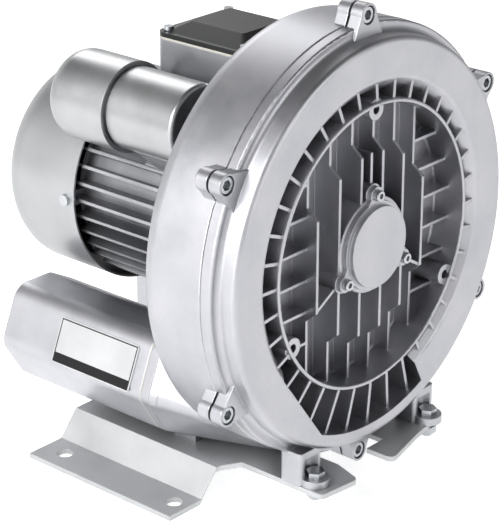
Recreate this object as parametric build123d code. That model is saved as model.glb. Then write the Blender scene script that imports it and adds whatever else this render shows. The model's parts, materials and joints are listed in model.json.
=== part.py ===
from build123d import *
import os
from math import acos, cos, degrees, radians, sin, sqrt

os.makedirs("parts", exist_ok=True)

# Side channel blower with a direct-driven motor. Millimetres, +Z up.
# Origin: centre of the four floor-bolt holes, on the floor. The shaft runs along Y, the ribbed cover
# looks towards -Y, and the motor, the silencers and both ports point towards +Y.
# "Axial" places are measured from the plane where cover and casing meet, plus towards the motor.

# ---------------------------------------------------------------- whole machine
SHAFT_HEIGHT = 190.0
CASING_R = 163.0                # outside of the drum; the channel, the cover and the foot follow it
PARTING_Y = -107.0

# ---------------------------------------------------------------- fits
FIT_GAP = 0.05          # radial gap of a part seated in a bore
RUN_GAP = 0.05          # radial gap of a running fit
SEAT_GAP = 0.3          # curved parts that sit close to each other
IMPELLER_GAP = 0.4      # face gap of the impeller on either side

# ---------------------------------------------------------------- bearings and shaft
FRONT_BEARING_OD = 62.0
FRONT_BEARING_ID = 30.0
FRONT_BEARING_WIDTH = 16.0
REAR_BEARING_OD = 52.0
REAR_BEARING_ID = 25.0
REAR_BEARING_WIDTH = 15.0
BEARING_RING_SHARE = 0.28      # ring thickness as a share of the bearing's section
SEAL_OD = 52.0
SEAL_WIDTH = 7.0
SPACER_OD = 40.0
SHAFT_BODY_D = 35.0
FAN_SEAT_D = 20.0

# ---------------------------------------------------------------- front cover
RIM_STEP = 0.5                  # from the drum's outside in to the cover's flange
COVER_FLANGE_R = CASING_R - RIM_STEP
COVER_FLANGE_T = 9.0
COVER_FLANGE_WIDTH = 7.5
COVER_WALL_R = CASING_R - COVER_FLANGE_WIDTH
COVER_DRAFT = 2.0              # side wall radius lost towards the front
COVER_DEPTH = 33.0             # parting plane to the front annulus
COVER_EDGE_R = 4.0
LIP_R = 124.0                  # inner edge of the front annulus
LIP_DEPTH = 31.5
RING_R = 109.0                 # outside of the rib ring
RING_T = 3.0
RING_DEPTH = 32.5
FLOOR_T = 5.0                  # disc between ring and hub
VALLEY_DEPTH = 12.0            # where the annulus slope meets the rib ring
RIB_T = 2.6
RIB_DEPTH = 30.5
RIB_PITCH_DEG = 10.0
FIN_T = 2.4
FIN_PITCH = 24.2
FIN_LOW_DEPTH = 18.0
FIN_HIGH_DEPTH = 27.5
FIN_STEP_R = 70.0
FIN_RAMP = 8.0
VERTICAL_FINS = 6
HUB_R = 38.5
HUB_DRAFT = 2.0
HUB_DEPTH = 28.5
HUB_SCREW_R = 39.0
HUB_LUG_R = 8.0
BOSS_PCD = 206.0
BOSS_R = 8.0
BOSS_DEPTH = 29.5
BOSS_HOLE_R = 3.4
BOSS_HOLE_DEPTH = 16.0
TAP_HOLE_R = 2.6

# ---------------------------------------------------------------- front bearing cap
CAP_DISC_R = 30.7
CAP_EAR_T = 3.5
CAP_RAISE = 3.6
CAP_SPIGOT = 2.0
CAP_SCREW_D = 5.0

# ---------------------------------------------------------------- side channel and interrupter
CHANNEL_IN_R = 116.0
CHANNEL_OUT_WALL = 12.5          # from the drum's outside in to the channel
CHANNEL_OUT_R = CASING_R - CHANNEL_OUT_WALL
CHANNEL_WALL = 4.4
CHANNEL_BOTTOM_R = 12.0
CHANNEL_TAPER = 2.0
COVER_CHANNEL_DEPTH = 28.0
CASING_CHANNEL_DEPTH = 20.0
BREAK_START_DEG = 215.6        # where the channel's inner wall leaves the circle, as a straight line
BREAK_END_DEG = 295.0
BREAK_FLOOR = 8.0
BREAK_RIM_WIDTH = 20.0           # of the rim below the interrupter's pocket
BREAK_RIM_R = CASING_R - BREAK_RIM_WIDTH

# ---------------------------------------------------------------- casing
CASING_DEPTH = 50.0
COLLAR_DEPTH = 9.0              # casing rim that reaches forward round the cover
LUG_GAP = 2.0                  # between the cover's lugs and the casing's
LUG_SEAT = 8.0                 # depth of the screw head's pocket in a cover lug
CASING_BACK_R = 15.0
CASING_RIM_WIDTH = 12.0
CASING_RIM_IN_R = CASING_R - CASING_RIM_WIDTH
CASING_DISC_T = 6.0
CASING_RECESS_R = 104.0
LUG_REACH = 7.0                  # from the drum's outside to the screws' circle
LUG_COUNT = 6
LUG_FIRST_DEG = 30.0
LUG_TIP_R = 8.5
LUG_ROOT_HALF = 17.0
COVER_LUG_DEPTH = 21.0
CASING_LUG_DEPTH = 1.0
CASING_SCREW_D = 8.0
CASING_SCREW_HEAD_D = 13.0
CASING_SCREW_HEAD_H = 7.0
CASING_SCREW_LENGTH = 13.0

# ---------------------------------------------------------------- impeller
IMPELLER_TIP_GAP = 0.5
IMPELLER_R = CHANNEL_OUT_R - IMPELLER_TIP_GAP
IMPELLER_WIDTH = 24.0
IMPELLER_WEB_T = 3.0
IMPELLER_DISC_T = 6.0
IMPELLER_BAND_IN_R = 108.0
IMPELLER_BUCKET_R = 114.0
IMPELLER_HUB_R = 30.0
BLADE_COUNT = 40
BLADE_T = 2.4
KEY_WIDTH = 8.0
KEY_HEIGHT = 7.0

# ---------------------------------------------------------------- motor
MOTOR_FIN_R = 78.0
MOTOR_ROOT_R = 67.0
MOTOR_BORE_R = 59.0
MOTOR_BACK = 200.0
MOTOR_FLANGE_R = 96.0
MOTOR_FLANGE_T = 9.0
MOTOR_FIN_T = 2.6
MOTOR_FIN_PITCH_DEG = 10.0
STATOR_FRONT = 82.0
STATOR_LENGTH = 84.0
AIR_GAP = 0.5
ROTOR_R = 33.0
WINDING_OVERHANG = 16.0
WINDING_IN_R = 38.0
WINDING_OUT_R = 54.0
SHIELD_T = 6.0
COWL_R = 84.0
COWL_FRONT = 194.0
COWL_LENGTH = 84.0
COWL_T = 1.5
COWL_EDGE_R = 24.0
FAN_R = 74.0
FAN_BLADES = 8
FAN_LENGTH = 36.0
MOTOR_BOLT_R = 86.0
MOTOR_BOLT_D = 8.0
MOTOR_TIE_R = 67.0
TIE_D = 5.0
SLOT_COUNT = 24
COWL_SCREW_D = 5.0
GRILLE_RINGS = 3
GRILLE_IN_R = 14.0
GRILLE_PITCH = 13.0
GRILLE_BAR = 4.0
GRILLE_SPOKES = 6

# ---------------------------------------------------------------- terminal box
BOX_HALF_WIDTH = 40.0
BOX_FRONT = 58.0
BOX_BACK = 147.0
BOX_FLOOR_RISE = 100.0
BOX_SPLIT_RISE = 130.0
BOX_WALL = 3.5
LID_HEIGHT = 11.0
LID_SKIRT = 3.5
BOX_GASKET_T = 1.6
BOX_NECK_HALF = 32.0
BOX_SEAT_RISE = 86.0
LID_SLOPE = 15.0
LID_STEP = 3.0
LID_SINK = 7.0
LID_SCREW_D = 4.0
LID_SCREW_INSET = 7.0
LID_POST_R = 4.2
GLAND_THREAD_R = 10.0
GLAND_PITCH = 30.0
CABLE_R = 5.0
BLOCK_CLEAR = 10.0              # from the terminal block to the box's outside
STUD_COUNT = 6
STUD_INSET = 5.0

# ---------------------------------------------------------------- capacitor
CAP_X = -75.0
CAP_RISE = 87.0                  # capacitor's axis above the shaft
CAP_R = 31.0
CAP_REAR_R = 34.5
CAP_FRONT = 70.0
CAP_SEAM = 135.0
CAP_BACK = 198.0
CAP_SHELL_T = 2.0
CAP_PAD_DEG = 140.0
CAP_PAD_HALF = 13.0
CAP_CAN_R = 24.0

# ---------------------------------------------------------------- silencers
SILENCER_SEAM = 97.0
SILENCER_LENGTH = 150.0
SILENCER_WALL = 4.0
SILENCER_END_T = 20.0
NECK_FRONT = 12.0
NECK_LOW = 3.0                   # heights of the neck's outline above the drum's lowest line
NECK_SIDE = 24.0
NECK_SHOULDER = 45.0
NECK_TOP = 51.0
NECK_TILT = 1.0
NECK_SLOPE = 12.0
NECK_LOW_X = 58.0
NECK_SIDE_X = 82.0
NECK_TOP_X = 62.0
NECK_LEAN = 2.0
NECK_FLANGE_T = 8.0
PORT_R = 22.4
TUBE_R = 25.0
TUBE_T = 1.0
TUBE_SEAT = 3.0
SILENCER_IN_X = 36.0
SILENCER_SLOPE = 14.0
SILENCER_FLOOR_X = 94.0
SILENCER_FLOOR_RISE = 10.0
SILENCER_OUT_X = 116.0
SILENCER_CREASE_RISE = 44.0
SILENCER_TOP_OUT_X = 98.0
SILENCER_TOP_IN_X = 62.0
SILENCER_TOP_RISE = 87.0
SILENCER_GASKET_T = 1.0
SILENCER_BOLT_D = 6.0
BOLT_INSET = 10.0
BOLT_SHIFT = 2.0
NECK_BOSS = 14.0
PORT_X = 74.0
PORT_RISE = 47.0
PLATE_LENGTH = 83.0
PLATE_HEIGHT = 36.0
PLATE_T = 0.8
PLATE_AXIAL = 150.0
PLATE_RISE = 19.0

# ---------------------------------------------------------------- foot plate
FOOT_PITCH_X = 260.0
FOOT_PITCH_Y = 115.0
FOOT_HOLE_D = 13.0
FOOT_HALF_WIDTH = 148.0
FOOT_BEND_X = 116.0
FOOT_TOP_X = 99.0
DRUM_GAP = 3.0                   # between the foot plate and the drum
FOOT_SHEET = 4.0
FOOT_FRONT = 36.7
FOOT_BACK = 185.3
FOOT_EDGE = 3.0
TONGUE_FRONT = -53.0
TONGUE_OUT_X = 79.0
TONGUE_IN_X = 34.0
TONGUE_ROOT = 14.0
LUG_CLEAR = 20.0               # cut-out round the lowest lug
LUG_CLEAR_FRONT = -28.0
LEG_X = 67.7
LEG_BOLT = -33.8
LEG_BOLT_D = 8.0
LEG_HALF = 12.0
LEG_FRONT = -30.0
LEG_BACK = -9.8
LEG_HEIGHT = 26.0
LEG_EDGE_R = 3.0
LEG_TOE_R = 11.0
LEG_TOE_T = 6.0
LEG_POCKET_R = 8.5
NECK_BOLT = 86.0
NECK_FOOT_HALF = 11.0
NECK_THREAD = 9.0

# ---------------------------------------------------------------- values that follow
SHAFT_AXIS = Axis((0, 0, SHAFT_HEIGHT), (0, 1, 0))
DRUM_LOW_Z = SHAFT_HEIGHT - CASING_R
FOOT_TOP_Z = DRUM_LOW_Z - DRUM_GAP
LEG_ROOT_Z = FOOT_TOP_Z + LEG_HEIGHT
SILENCER_FLOOR_Z = FOOT_TOP_Z + SILENCER_FLOOR_RISE
SILENCER_CREASE_Z = FOOT_TOP_Z + SILENCER_CREASE_RISE
SILENCER_TOP_Z = FOOT_TOP_Z + SILENCER_TOP_RISE
PORT_Z = FOOT_TOP_Z + PORT_RISE
BOX_SEAT_Z = SHAFT_HEIGHT + BOX_SEAT_RISE
BOX_FLOOR_Z = SHAFT_HEIGHT + BOX_FLOOR_RISE
BOX_SPLIT_Z = SHAFT_HEIGHT + BOX_SPLIT_RISE
CAP_Z = SHAFT_HEIGHT + CAP_RISE
IMPELLER_FRONT = IMPELLER_GAP
IMPELLER_BACK = IMPELLER_FRONT + IMPELLER_WIDTH
CASING_FLOOR = IMPELLER_BACK + IMPELLER_GAP
MOTOR_SPIGOT = CASING_FLOOR + CASING_DISC_T
BEARING_BACK = -(HUB_DEPTH - 3.5 - FRONT_BEARING_WIDTH)
BEARING_FRONT = BEARING_BACK - FRONT_BEARING_WIDTH
JOURNAL_R = FRONT_BEARING_ID / 2
SHAFT_R = SHAFT_BODY_D / 2
LUG_R = CASING_R + LUG_REACH
FLANGE_FRONT = COLLAR_DEPTH + COVER_FLANGE_T
COLLAR_IN_R = COVER_WALL_R + FIT_GAP
SCREW_SEAT = COVER_LUG_DEPTH - LUG_SEAT
REAR_BEARING_FRONT = MOTOR_BACK - 6.0
REAR_BEARING_BACK = REAR_BEARING_FRONT + REAR_BEARING_WIDTH
COWL_BACK = COWL_FRONT + COWL_LENGTH
FAN_FRONT = REAR_BEARING_BACK + 4.0
FAN_BACK = FAN_FRONT + FAN_LENGTH
SILENCER_BACK = SILENCER_SEAM + SILENCER_LENGTH
TUBE_BACK = SILENCER_BACK - SILENCER_END_T + TUBE_SEAT


# ---------------------------------------------------------------- helpers
def facing(axial):
    """Plane across the shaft, seen from the front: x to the right, y up, centred on the shaft."""
    return Plane(origin=(0, PARTING_Y + axial, SHAFT_HEIGHT), x_dir=(1, 0, 0), z_dir=(0, -1, 0))


def prism(sketch, front, back):
    """Sketch drawn as seen from the front, carried from one axial place to another."""
    return extrude(facing(back) * sketch, amount=back - front)


def disc(radius, front, back, x=0.0, z=0.0):
    return prism(Pos(x, z) * Circle(radius), front, back)


def turned(points):
    """Turned body about the shaft: points are radius, axial place and, where rounded, a radius."""
    face = make_face(Polyline(*[(p[0], p[1]) for p in points], close=True))
    for point in points:
        if len(point) == 3:
            corner = face.vertices().sort_by_distance((point[0], point[1], 0))[0]
            face = fillet(corner, point[2])
    placed = Pos(0, PARTING_Y, SHAFT_HEIGHT) * face
    return revolve(placed, axis=SHAFT_AXIS)


def turned_about(points, x, z):
    """Turned body about a line parallel to the shaft, offset by x and raised by z from it."""
    return Pos(x, 0, z) * turned(points)


def around(solid, angle):
    """Solid drawn at three o'clock, swung to an angle seen from the front, towards twelve o'clock."""
    return solid.rotate(SHAFT_AXIS, -angle)


def polar(radius, angle):
    return radius * cos(radians(angle)), radius * sin(radians(angle))


def joined(solids):
    """One body from many pieces."""
    body = solids[0]
    return body.fuse(*solids[1:]) if len(solids) > 1 else body


def block(x0, x1, y0, y1, z0, z1):
    """Box between two corners of the machine's own frame, y from the parting plane."""
    box = Box(x1 - x0, y1 - y0, z1 - z0, align=(Align.MIN, Align.MIN, Align.MIN))
    return Pos(x0, PARTING_Y + y0, z0) * box


def save(shape, name):
    shape.label = name
    export_step(shape, f"parts/{name}.step")


# ---------------------------------------------------------------- side channel
def channel_profile(mouth, depth, sign):
    """Cross-section of one half of the side channel; sign is -1 in the cover and 1 in the casing."""
    bottom = mouth + sign * depth
    half = (CHANNEL_OUT_R - CHANNEL_IN_R) / 2 - CHANNEL_TAPER
    round_r = min(CHANNEL_BOTTOM_R, half * 0.95)
    return [
        (CHANNEL_IN_R, mouth - sign * 2),
        (CHANNEL_IN_R + CHANNEL_TAPER, bottom, round_r),
        (CHANNEL_OUT_R - CHANNEL_TAPER, bottom, round_r),
        (CHANNEL_OUT_R, mouth - sign * 2),
    ]


def break_region(grow=0.0):
    """Flat shape of the interrupter: between a tangent line on the left and a radial line on the right."""
    reach = CASING_R + 20
    start_r = LIP_R + grow
    line_end = BREAK_START_DEG + degrees(acos(start_r / reach))
    stop = BREAK_END_DEG + degrees(grow / LIP_R)
    return make_face(
        Polyline(
            (0, 0),
            polar(start_r, BREAK_START_DEG),
            polar(reach, line_end),
            polar(reach, (line_end + stop) / 2),
            polar(reach, stop),
            close=True,
        )
    )


def channel_air(mouth, depth, sign):
    """Air space of one half of the side channel, open all round except at the interrupter."""
    low, high = sorted((mouth - sign * 3, mouth + sign * (depth + 3)))
    return turned(channel_profile(mouth, depth, sign)) - prism(break_region(CHANNEL_WALL), low, high)


# ---------------------------------------------------------------- front cover
def lug_sketch():
    """Screw lug seen from the front, drawn at three o'clock."""
    root = COVER_WALL_R - 5
    web = Polygon(
        (root, -LUG_ROOT_HALF),
        (LUG_R, -LUG_TIP_R),
        (LUG_R, LUG_TIP_R),
        (root, LUG_ROOT_HALF),
        align=None,
    )
    return web + Pos(LUG_R, 0) * Circle(LUG_TIP_R)


def lug_angles():
    return [LUG_FIRST_DEG + 360 / LUG_COUNT * n for n in range(LUG_COUNT)]


def boss_angles():
    return [90.0, 210.0, 330.0]


def fin_profile(offset):
    """Side view of a full-height fin: low outside, high near the hub, with ramps between."""
    end = sqrt((RING_R - RING_T / 2) ** 2 - offset ** 2)
    step = sqrt(FIN_STEP_R ** 2 - offset ** 2)
    return [
        (-end, -FLOOR_T / 2),
        (-end, -FIN_LOW_DEPTH),
        (-step - FIN_RAMP, -FIN_LOW_DEPTH),
        (-step, -FIN_HIGH_DEPTH),
        (step, -FIN_HIGH_DEPTH),
        (step + FIN_RAMP, -FIN_LOW_DEPTH),
        (end, -FIN_LOW_DEPTH),
        (end, -FLOOR_T / 2),
    ]


def vertical_fin(x):
    """Upright cooling fin of the cover at a distance from the centre plane."""
    side = Plane(origin=(x - FIN_T / 2, PARTING_Y, SHAFT_HEIGHT), x_dir=(0, 0, 1), z_dir=(1, 0, 0))
    outline = [(z, -y) for z, y in fin_profile(x)]
    return extrude(side * make_face(Polyline(*outline, close=True)), amount=FIN_T)


def fin_rows(count):
    return [FIN_PITCH * (n - (count - 1) / 2) for n in range(count)]


def side_fin(z, side):
    """Short level fin between the outermost upright fin and the ring."""
    start = fin_rows(VERTICAL_FINS)[-1]
    end = sqrt((RING_R - RING_T / 2) ** 2 - z ** 2)
    x0, x1 = sorted((side * start, side * end))
    return block(
        x0, x1, -FIN_LOW_DEPTH, -FLOOR_T / 2,
        SHAFT_HEIGHT + z - FIN_T / 2, SHAFT_HEIGHT + z + FIN_T / 2,
    )


def rim_rib(angle):
    """Radial rib outside the ring; across the interrupter it runs on to the rim."""
    in_break = BREAK_START_DEG < angle < BREAK_END_DEG
    end = BREAK_RIM_R + 1 if in_break else LIP_R + 2
    outline = Polyline(
        (RING_R - RING_T / 2, -BREAK_FLOOR + 1),
        (RING_R - RING_T / 2, -RIB_DEPTH),
        (end, -RIB_DEPTH + (end - RING_R) * 0.08),
        (end, -BREAK_FLOOR + 1),
        close=True,
    )
    flat = Pos(0, PARTING_Y, SHAFT_HEIGHT - RIB_T / 2) * make_face(outline)
    return around(extrude(flat, amount=RIB_T, dir=(0, 0, 1)), angle)


def cover_leg(side):
    """Cast leg under the cover, and the half-round toe with which it stands on the foot plate."""
    x0, x1 = side * LEG_X - LEG_HALF, side * LEG_X + LEG_HALF
    leg = block(x0, x1, LEG_FRONT, LEG_BACK, FOOT_TOP_Z, LEG_ROOT_Z)
    leg = fillet(leg.edges().filter_by(Axis.Z), LEG_EDGE_R)
    toe = Cylinder(LEG_TOE_R, LEG_TOE_T, align=(Align.CENTER, Align.CENTER, Align.MIN))
    return [leg, Pos(side * LEG_X, PARTING_Y + LEG_BOLT, FOOT_TOP_Z) * toe]


def front_cover():
    """Ribbed cover casting: half the side channel, the front bearing's hub and the cooling fins."""
    shell = turned([
        (0, 0),
        (COVER_WALL_R, 0),
        (COVER_WALL_R, -COLLAR_DEPTH),
        (COVER_FLANGE_R, -COLLAR_DEPTH),
        (COVER_FLANGE_R, -FLANGE_FRONT, 1.5),
        (COVER_WALL_R, -FLANGE_FRONT, 4),
        (COVER_WALL_R - COVER_DRAFT, -COVER_DEPTH, COVER_EDGE_R),
        (LIP_R, -LIP_DEPTH, 4),
        ((LIP_R + RING_R) / 2 + 1, -(LIP_DEPTH + VALLEY_DEPTH) / 2 - 4, 9),
        (RING_R, -VALLEY_DEPTH),
        (RING_R, -RING_DEPTH, 1),
        (RING_R - RING_T, -RING_DEPTH, 1),
        (RING_R - RING_T, -FLOOR_T, 2),
        (HUB_R, -FLOOR_T, 2),
        (HUB_R - HUB_DRAFT, -HUB_DEPTH, 1),
        (0, -HUB_DEPTH),
    ])
    pocket = prism(break_region() & (Circle(BREAK_RIM_R) - Circle(RING_R)), -COVER_DEPTH - 5, -BREAK_FLOOR)
    shell = shell - pocket
    extra = [rim_rib(RIB_PITCH_DEG * n) for n in range(int(360 / RIB_PITCH_DEG))]
    extra += [vertical_fin(x) for x in fin_rows(VERTICAL_FINS)]
    extra += [side_fin(z, side) for z in fin_rows(VERTICAL_FINS) for side in (-1, 1)]
    for angle in boss_angles():
        x, z = polar(BOSS_PCD / 2, angle)
        extra.append(disc(BOSS_R, -BOSS_DEPTH, -FLOOR_T / 2, x, z))
        x, z = polar(HUB_SCREW_R, angle)
        extra.append(disc(HUB_LUG_R, -HUB_DEPTH, -FLOOR_T / 2, x, z))
        spoke = block(HUB_R - 2, FIN_STEP_R, -FIN_HIGH_DEPTH + 1, -FLOOR_T / 2,
                      SHAFT_HEIGHT - FIN_T / 2, SHAFT_HEIGHT + FIN_T / 2)
        extra.append(around(spoke, angle))
    for angle in lug_angles():
        extra.append(around(prism(lug_sketch(), -COVER_LUG_DEPTH, -COLLAR_DEPTH - LUG_GAP), angle))
    for side in (-1, 1):
        extra += cover_leg(side)
    cover = shell.fuse(*extra)

    holes = [channel_air(0, COVER_CHANNEL_DEPTH, -1)]
    holes.append(disc(FRONT_BEARING_OD / 2 + FIT_GAP, -HUB_DEPTH - 5, BEARING_BACK))
    holes.append(disc(SEAL_OD / 2 + FIT_GAP, BEARING_BACK - 1, -1.5))
    holes.append(disc(SPACER_OD / 2 + 2, -3, 3))
    for angle in boss_angles():
        x, z = polar(BOSS_PCD / 2, angle)
        holes.append(disc(BOSS_HOLE_R, -BOSS_DEPTH - 5, -BOSS_DEPTH + BOSS_HOLE_DEPTH, x, z))
        x, z = polar(HUB_SCREW_R, angle)
        holes.append(disc(TAP_HOLE_R, -HUB_DEPTH - 5, -HUB_DEPTH + 14, x, z))
    for angle in lug_angles():
        x, z = polar(LUG_R, angle)
        holes.append(disc(CASING_SCREW_D / 2 + 0.5, -COVER_LUG_DEPTH - 5, 5, x, z))
        holes.append(disc(CASING_SCREW_HEAD_D / 2 + 0.4, -COVER_LUG_DEPTH - 5, -SCREW_SEAT, x, z))
    for side in (-1, 1):
        place = Pos(side * LEG_X, PARTING_Y + LEG_BOLT, FOOT_TOP_Z)
        holes.append(place * Cylinder(LEG_BOLT_D / 2 + 0.5, 4 * LEG_TOE_T))
        pocket = Cylinder(LEG_POCKET_R, LEG_ROOT_Z, align=(Align.CENTER, Align.CENTER, Align.MIN))
        holes.append(place * Pos(0, 0, LEG_TOE_T) * pocket & block(
            side * LEG_X - LEG_TOE_R, side * LEG_X + LEG_TOE_R, LEG_BOLT - LEG_TOE_R, LEG_BOLT + LEG_TOE_R,
            FOOT_TOP_Z, LEG_ROOT_Z - 6,
        ))
    return cover.cut(*holes)



def bearing_cap():
    """Cap over the front bearing: a raised disc with three screw ears and a spigot in the hub."""
    ear_back = -HUB_DEPTH
    ear_front = ear_back - CAP_EAR_T
    plate = Circle(CAP_DISC_R + 3)
    for angle in boss_angles():
        x, z = polar(HUB_SCREW_R, angle)
        left = polar(CAP_DISC_R, angle - 22)
        right = polar(CAP_DISC_R, angle + 22)
        tip = polar(HUB_SCREW_R + HUB_LUG_R - 1, angle)
        plate += Polygon((0, 0), left, tip, right, align=None)
        plate += Pos(x, z) * Circle(HUB_LUG_R - 1.5)
    cap = prism(plate, ear_front, ear_back)
    cap += disc(CAP_DISC_R, ear_front - CAP_RAISE, ear_front)
    cap += disc(FRONT_BEARING_OD / 2 - FIT_GAP, ear_back, ear_back + CAP_SPIGOT)
    cap -= disc(FRONT_BEARING_OD / 2 - 7, ear_front, ear_back + CAP_SPIGOT + 1)
    for angle in boss_angles():
        x, z = polar(HUB_SCREW_R, angle)
        cap -= disc(CAP_SCREW_D / 2 + 0.4, ear_front - 2, ear_back + 2, x, z)
    return cap


def socket_screw(diameter, head_d, head_h, length, front, x, z, socket=0.45):
    """Socket head screw seen from the front, head underside at one axial place, shank towards the motor."""
    screw = disc(head_d / 2, front - head_h, front, x, z) + disc(diameter / 2, front, front + length, x, z)
    return screw - prism(Pos(x, z) * RegularPolygon(head_d * socket / 2, 6), front - head_h, front - head_h / 2)


def bearing_cap_screws():
    front = -HUB_DEPTH - CAP_EAR_T
    places = [polar(HUB_SCREW_R, angle) for angle in boss_angles()]
    screws = [
        socket_screw(CAP_SCREW_D, CAP_SCREW_D * 1.7, CAP_SCREW_D * 0.8, CAP_EAR_T + 10, front, x, z)
        for x, z in places
    ]
    return Compound(screws)


def bearing_outer(outer_d, inner_d, front, back):
    """Outer ring of a sealed ball bearing with its two shields."""
    section = (outer_d - inner_d) / 2
    ring_t = section * BEARING_RING_SHARE
    inner_edge = inner_d / 2 + ring_t + SEAT_GAP
    ring = disc(outer_d / 2, front, back) - disc(outer_d / 2 - ring_t, front - 1, back + 1)
    for start in (front + 0.5, back - 1.5):
        ring += disc(outer_d / 2 - ring_t / 2, start, start + 1) - disc(inner_edge, start - 1, start + 2)
    return ring


def bearing_inner(outer_d, inner_d, front, back):
    section = (outer_d - inner_d) / 2
    ring = disc(inner_d / 2 + section * BEARING_RING_SHARE, front, back)
    return ring - disc(inner_d / 2 + 0.02, front - 1, back + 1)


def preload_spring():
    """Wave spring between the bearing cap's spigot and the front bearing."""
    front = -HUB_DEPTH + CAP_SPIGOT
    radius = FRONT_BEARING_OD / 2 - SEAT_GAP
    return disc(radius, front, BEARING_FRONT) - disc(radius - 4, front - 1, BEARING_FRONT + 1)


def shaft_seal(front, shaft_d):
    """Lip seal: a stiff ring with a sprung lip that runs on the shaft."""
    return turned([
        (SEAL_OD / 2, front),
        (SEAL_OD / 2, front + SEAL_WIDTH),
        (SEAL_OD / 2 - 2, front + SEAL_WIDTH),
        (SEAL_OD / 2 - 2, front + 2),
        (shaft_d / 2 + 2, front + 2),
        (shaft_d / 2 + 2, front + SEAL_WIDTH - 1),
        (shaft_d / 2 + RUN_GAP, front + SEAL_WIDTH - 2),
        (shaft_d / 2 + 1.2, front),
    ])


def neck_section(side):
    """Outline of a silencer seen from the front: flat floor, crease on the outer wall, rounded top."""
    points = [
        (side * SILENCER_IN_X, SILENCER_FLOOR_Z),
        (side * SILENCER_FLOOR_X, SILENCER_FLOOR_Z - NECK_TILT),
        (side * SILENCER_OUT_X, SILENCER_CREASE_Z),
        (side * SILENCER_TOP_OUT_X, SILENCER_TOP_Z),
        (side * SILENCER_TOP_IN_X, SILENCER_TOP_Z),
        (side * SILENCER_IN_X, SILENCER_TOP_Z - SILENCER_SLOPE),
    ]
    return [(x, z - SHAFT_HEIGHT) for x, z in points]


NECK_ROUNDS = (8.0, 8.0, 14.0, 16.0, 14.0, 10.0)


def rounded(points, shrink=0.0):
    """Closed outline with every corner rounded, drawn inwards by a wall."""
    face = make_face(Polyline(*points, close=True))
    for point, radius in zip(points, NECK_ROUNDS):
        corner = face.vertices().sort_by_distance((point[0], point[1], 0))[0]
        face = fillet(corner, radius)
    return offset(face, -shrink) if shrink else face


def neck_entry(side):
    """Where a port neck leaves the casing: the silencer outline drawn up against the drum's lower side."""
    points = [
        (side * SILENCER_IN_X, NECK_LOW),
        (side * NECK_LOW_X, NECK_LOW + NECK_TILT),
        (side * NECK_SIDE_X, NECK_SIDE),
        (side * (NECK_SIDE_X + NECK_LEAN), NECK_SHOULDER),
        (side * NECK_TOP_X, NECK_TOP),
        (side * SILENCER_IN_X, NECK_TOP - NECK_SLOPE),
    ]
    return [(x, DRUM_LOW_Z + rise - SHAFT_HEIGHT) for x, rise in points]


def neck_solid(side, shrink, front, back):
    """Port neck lofted from the drum's lower side to the silencer seam."""
    entry = facing(front) * rounded(neck_entry(side), shrink)
    end = facing(back) * rounded(neck_section(side), shrink)
    return loft([entry, end], ruled=False)


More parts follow.
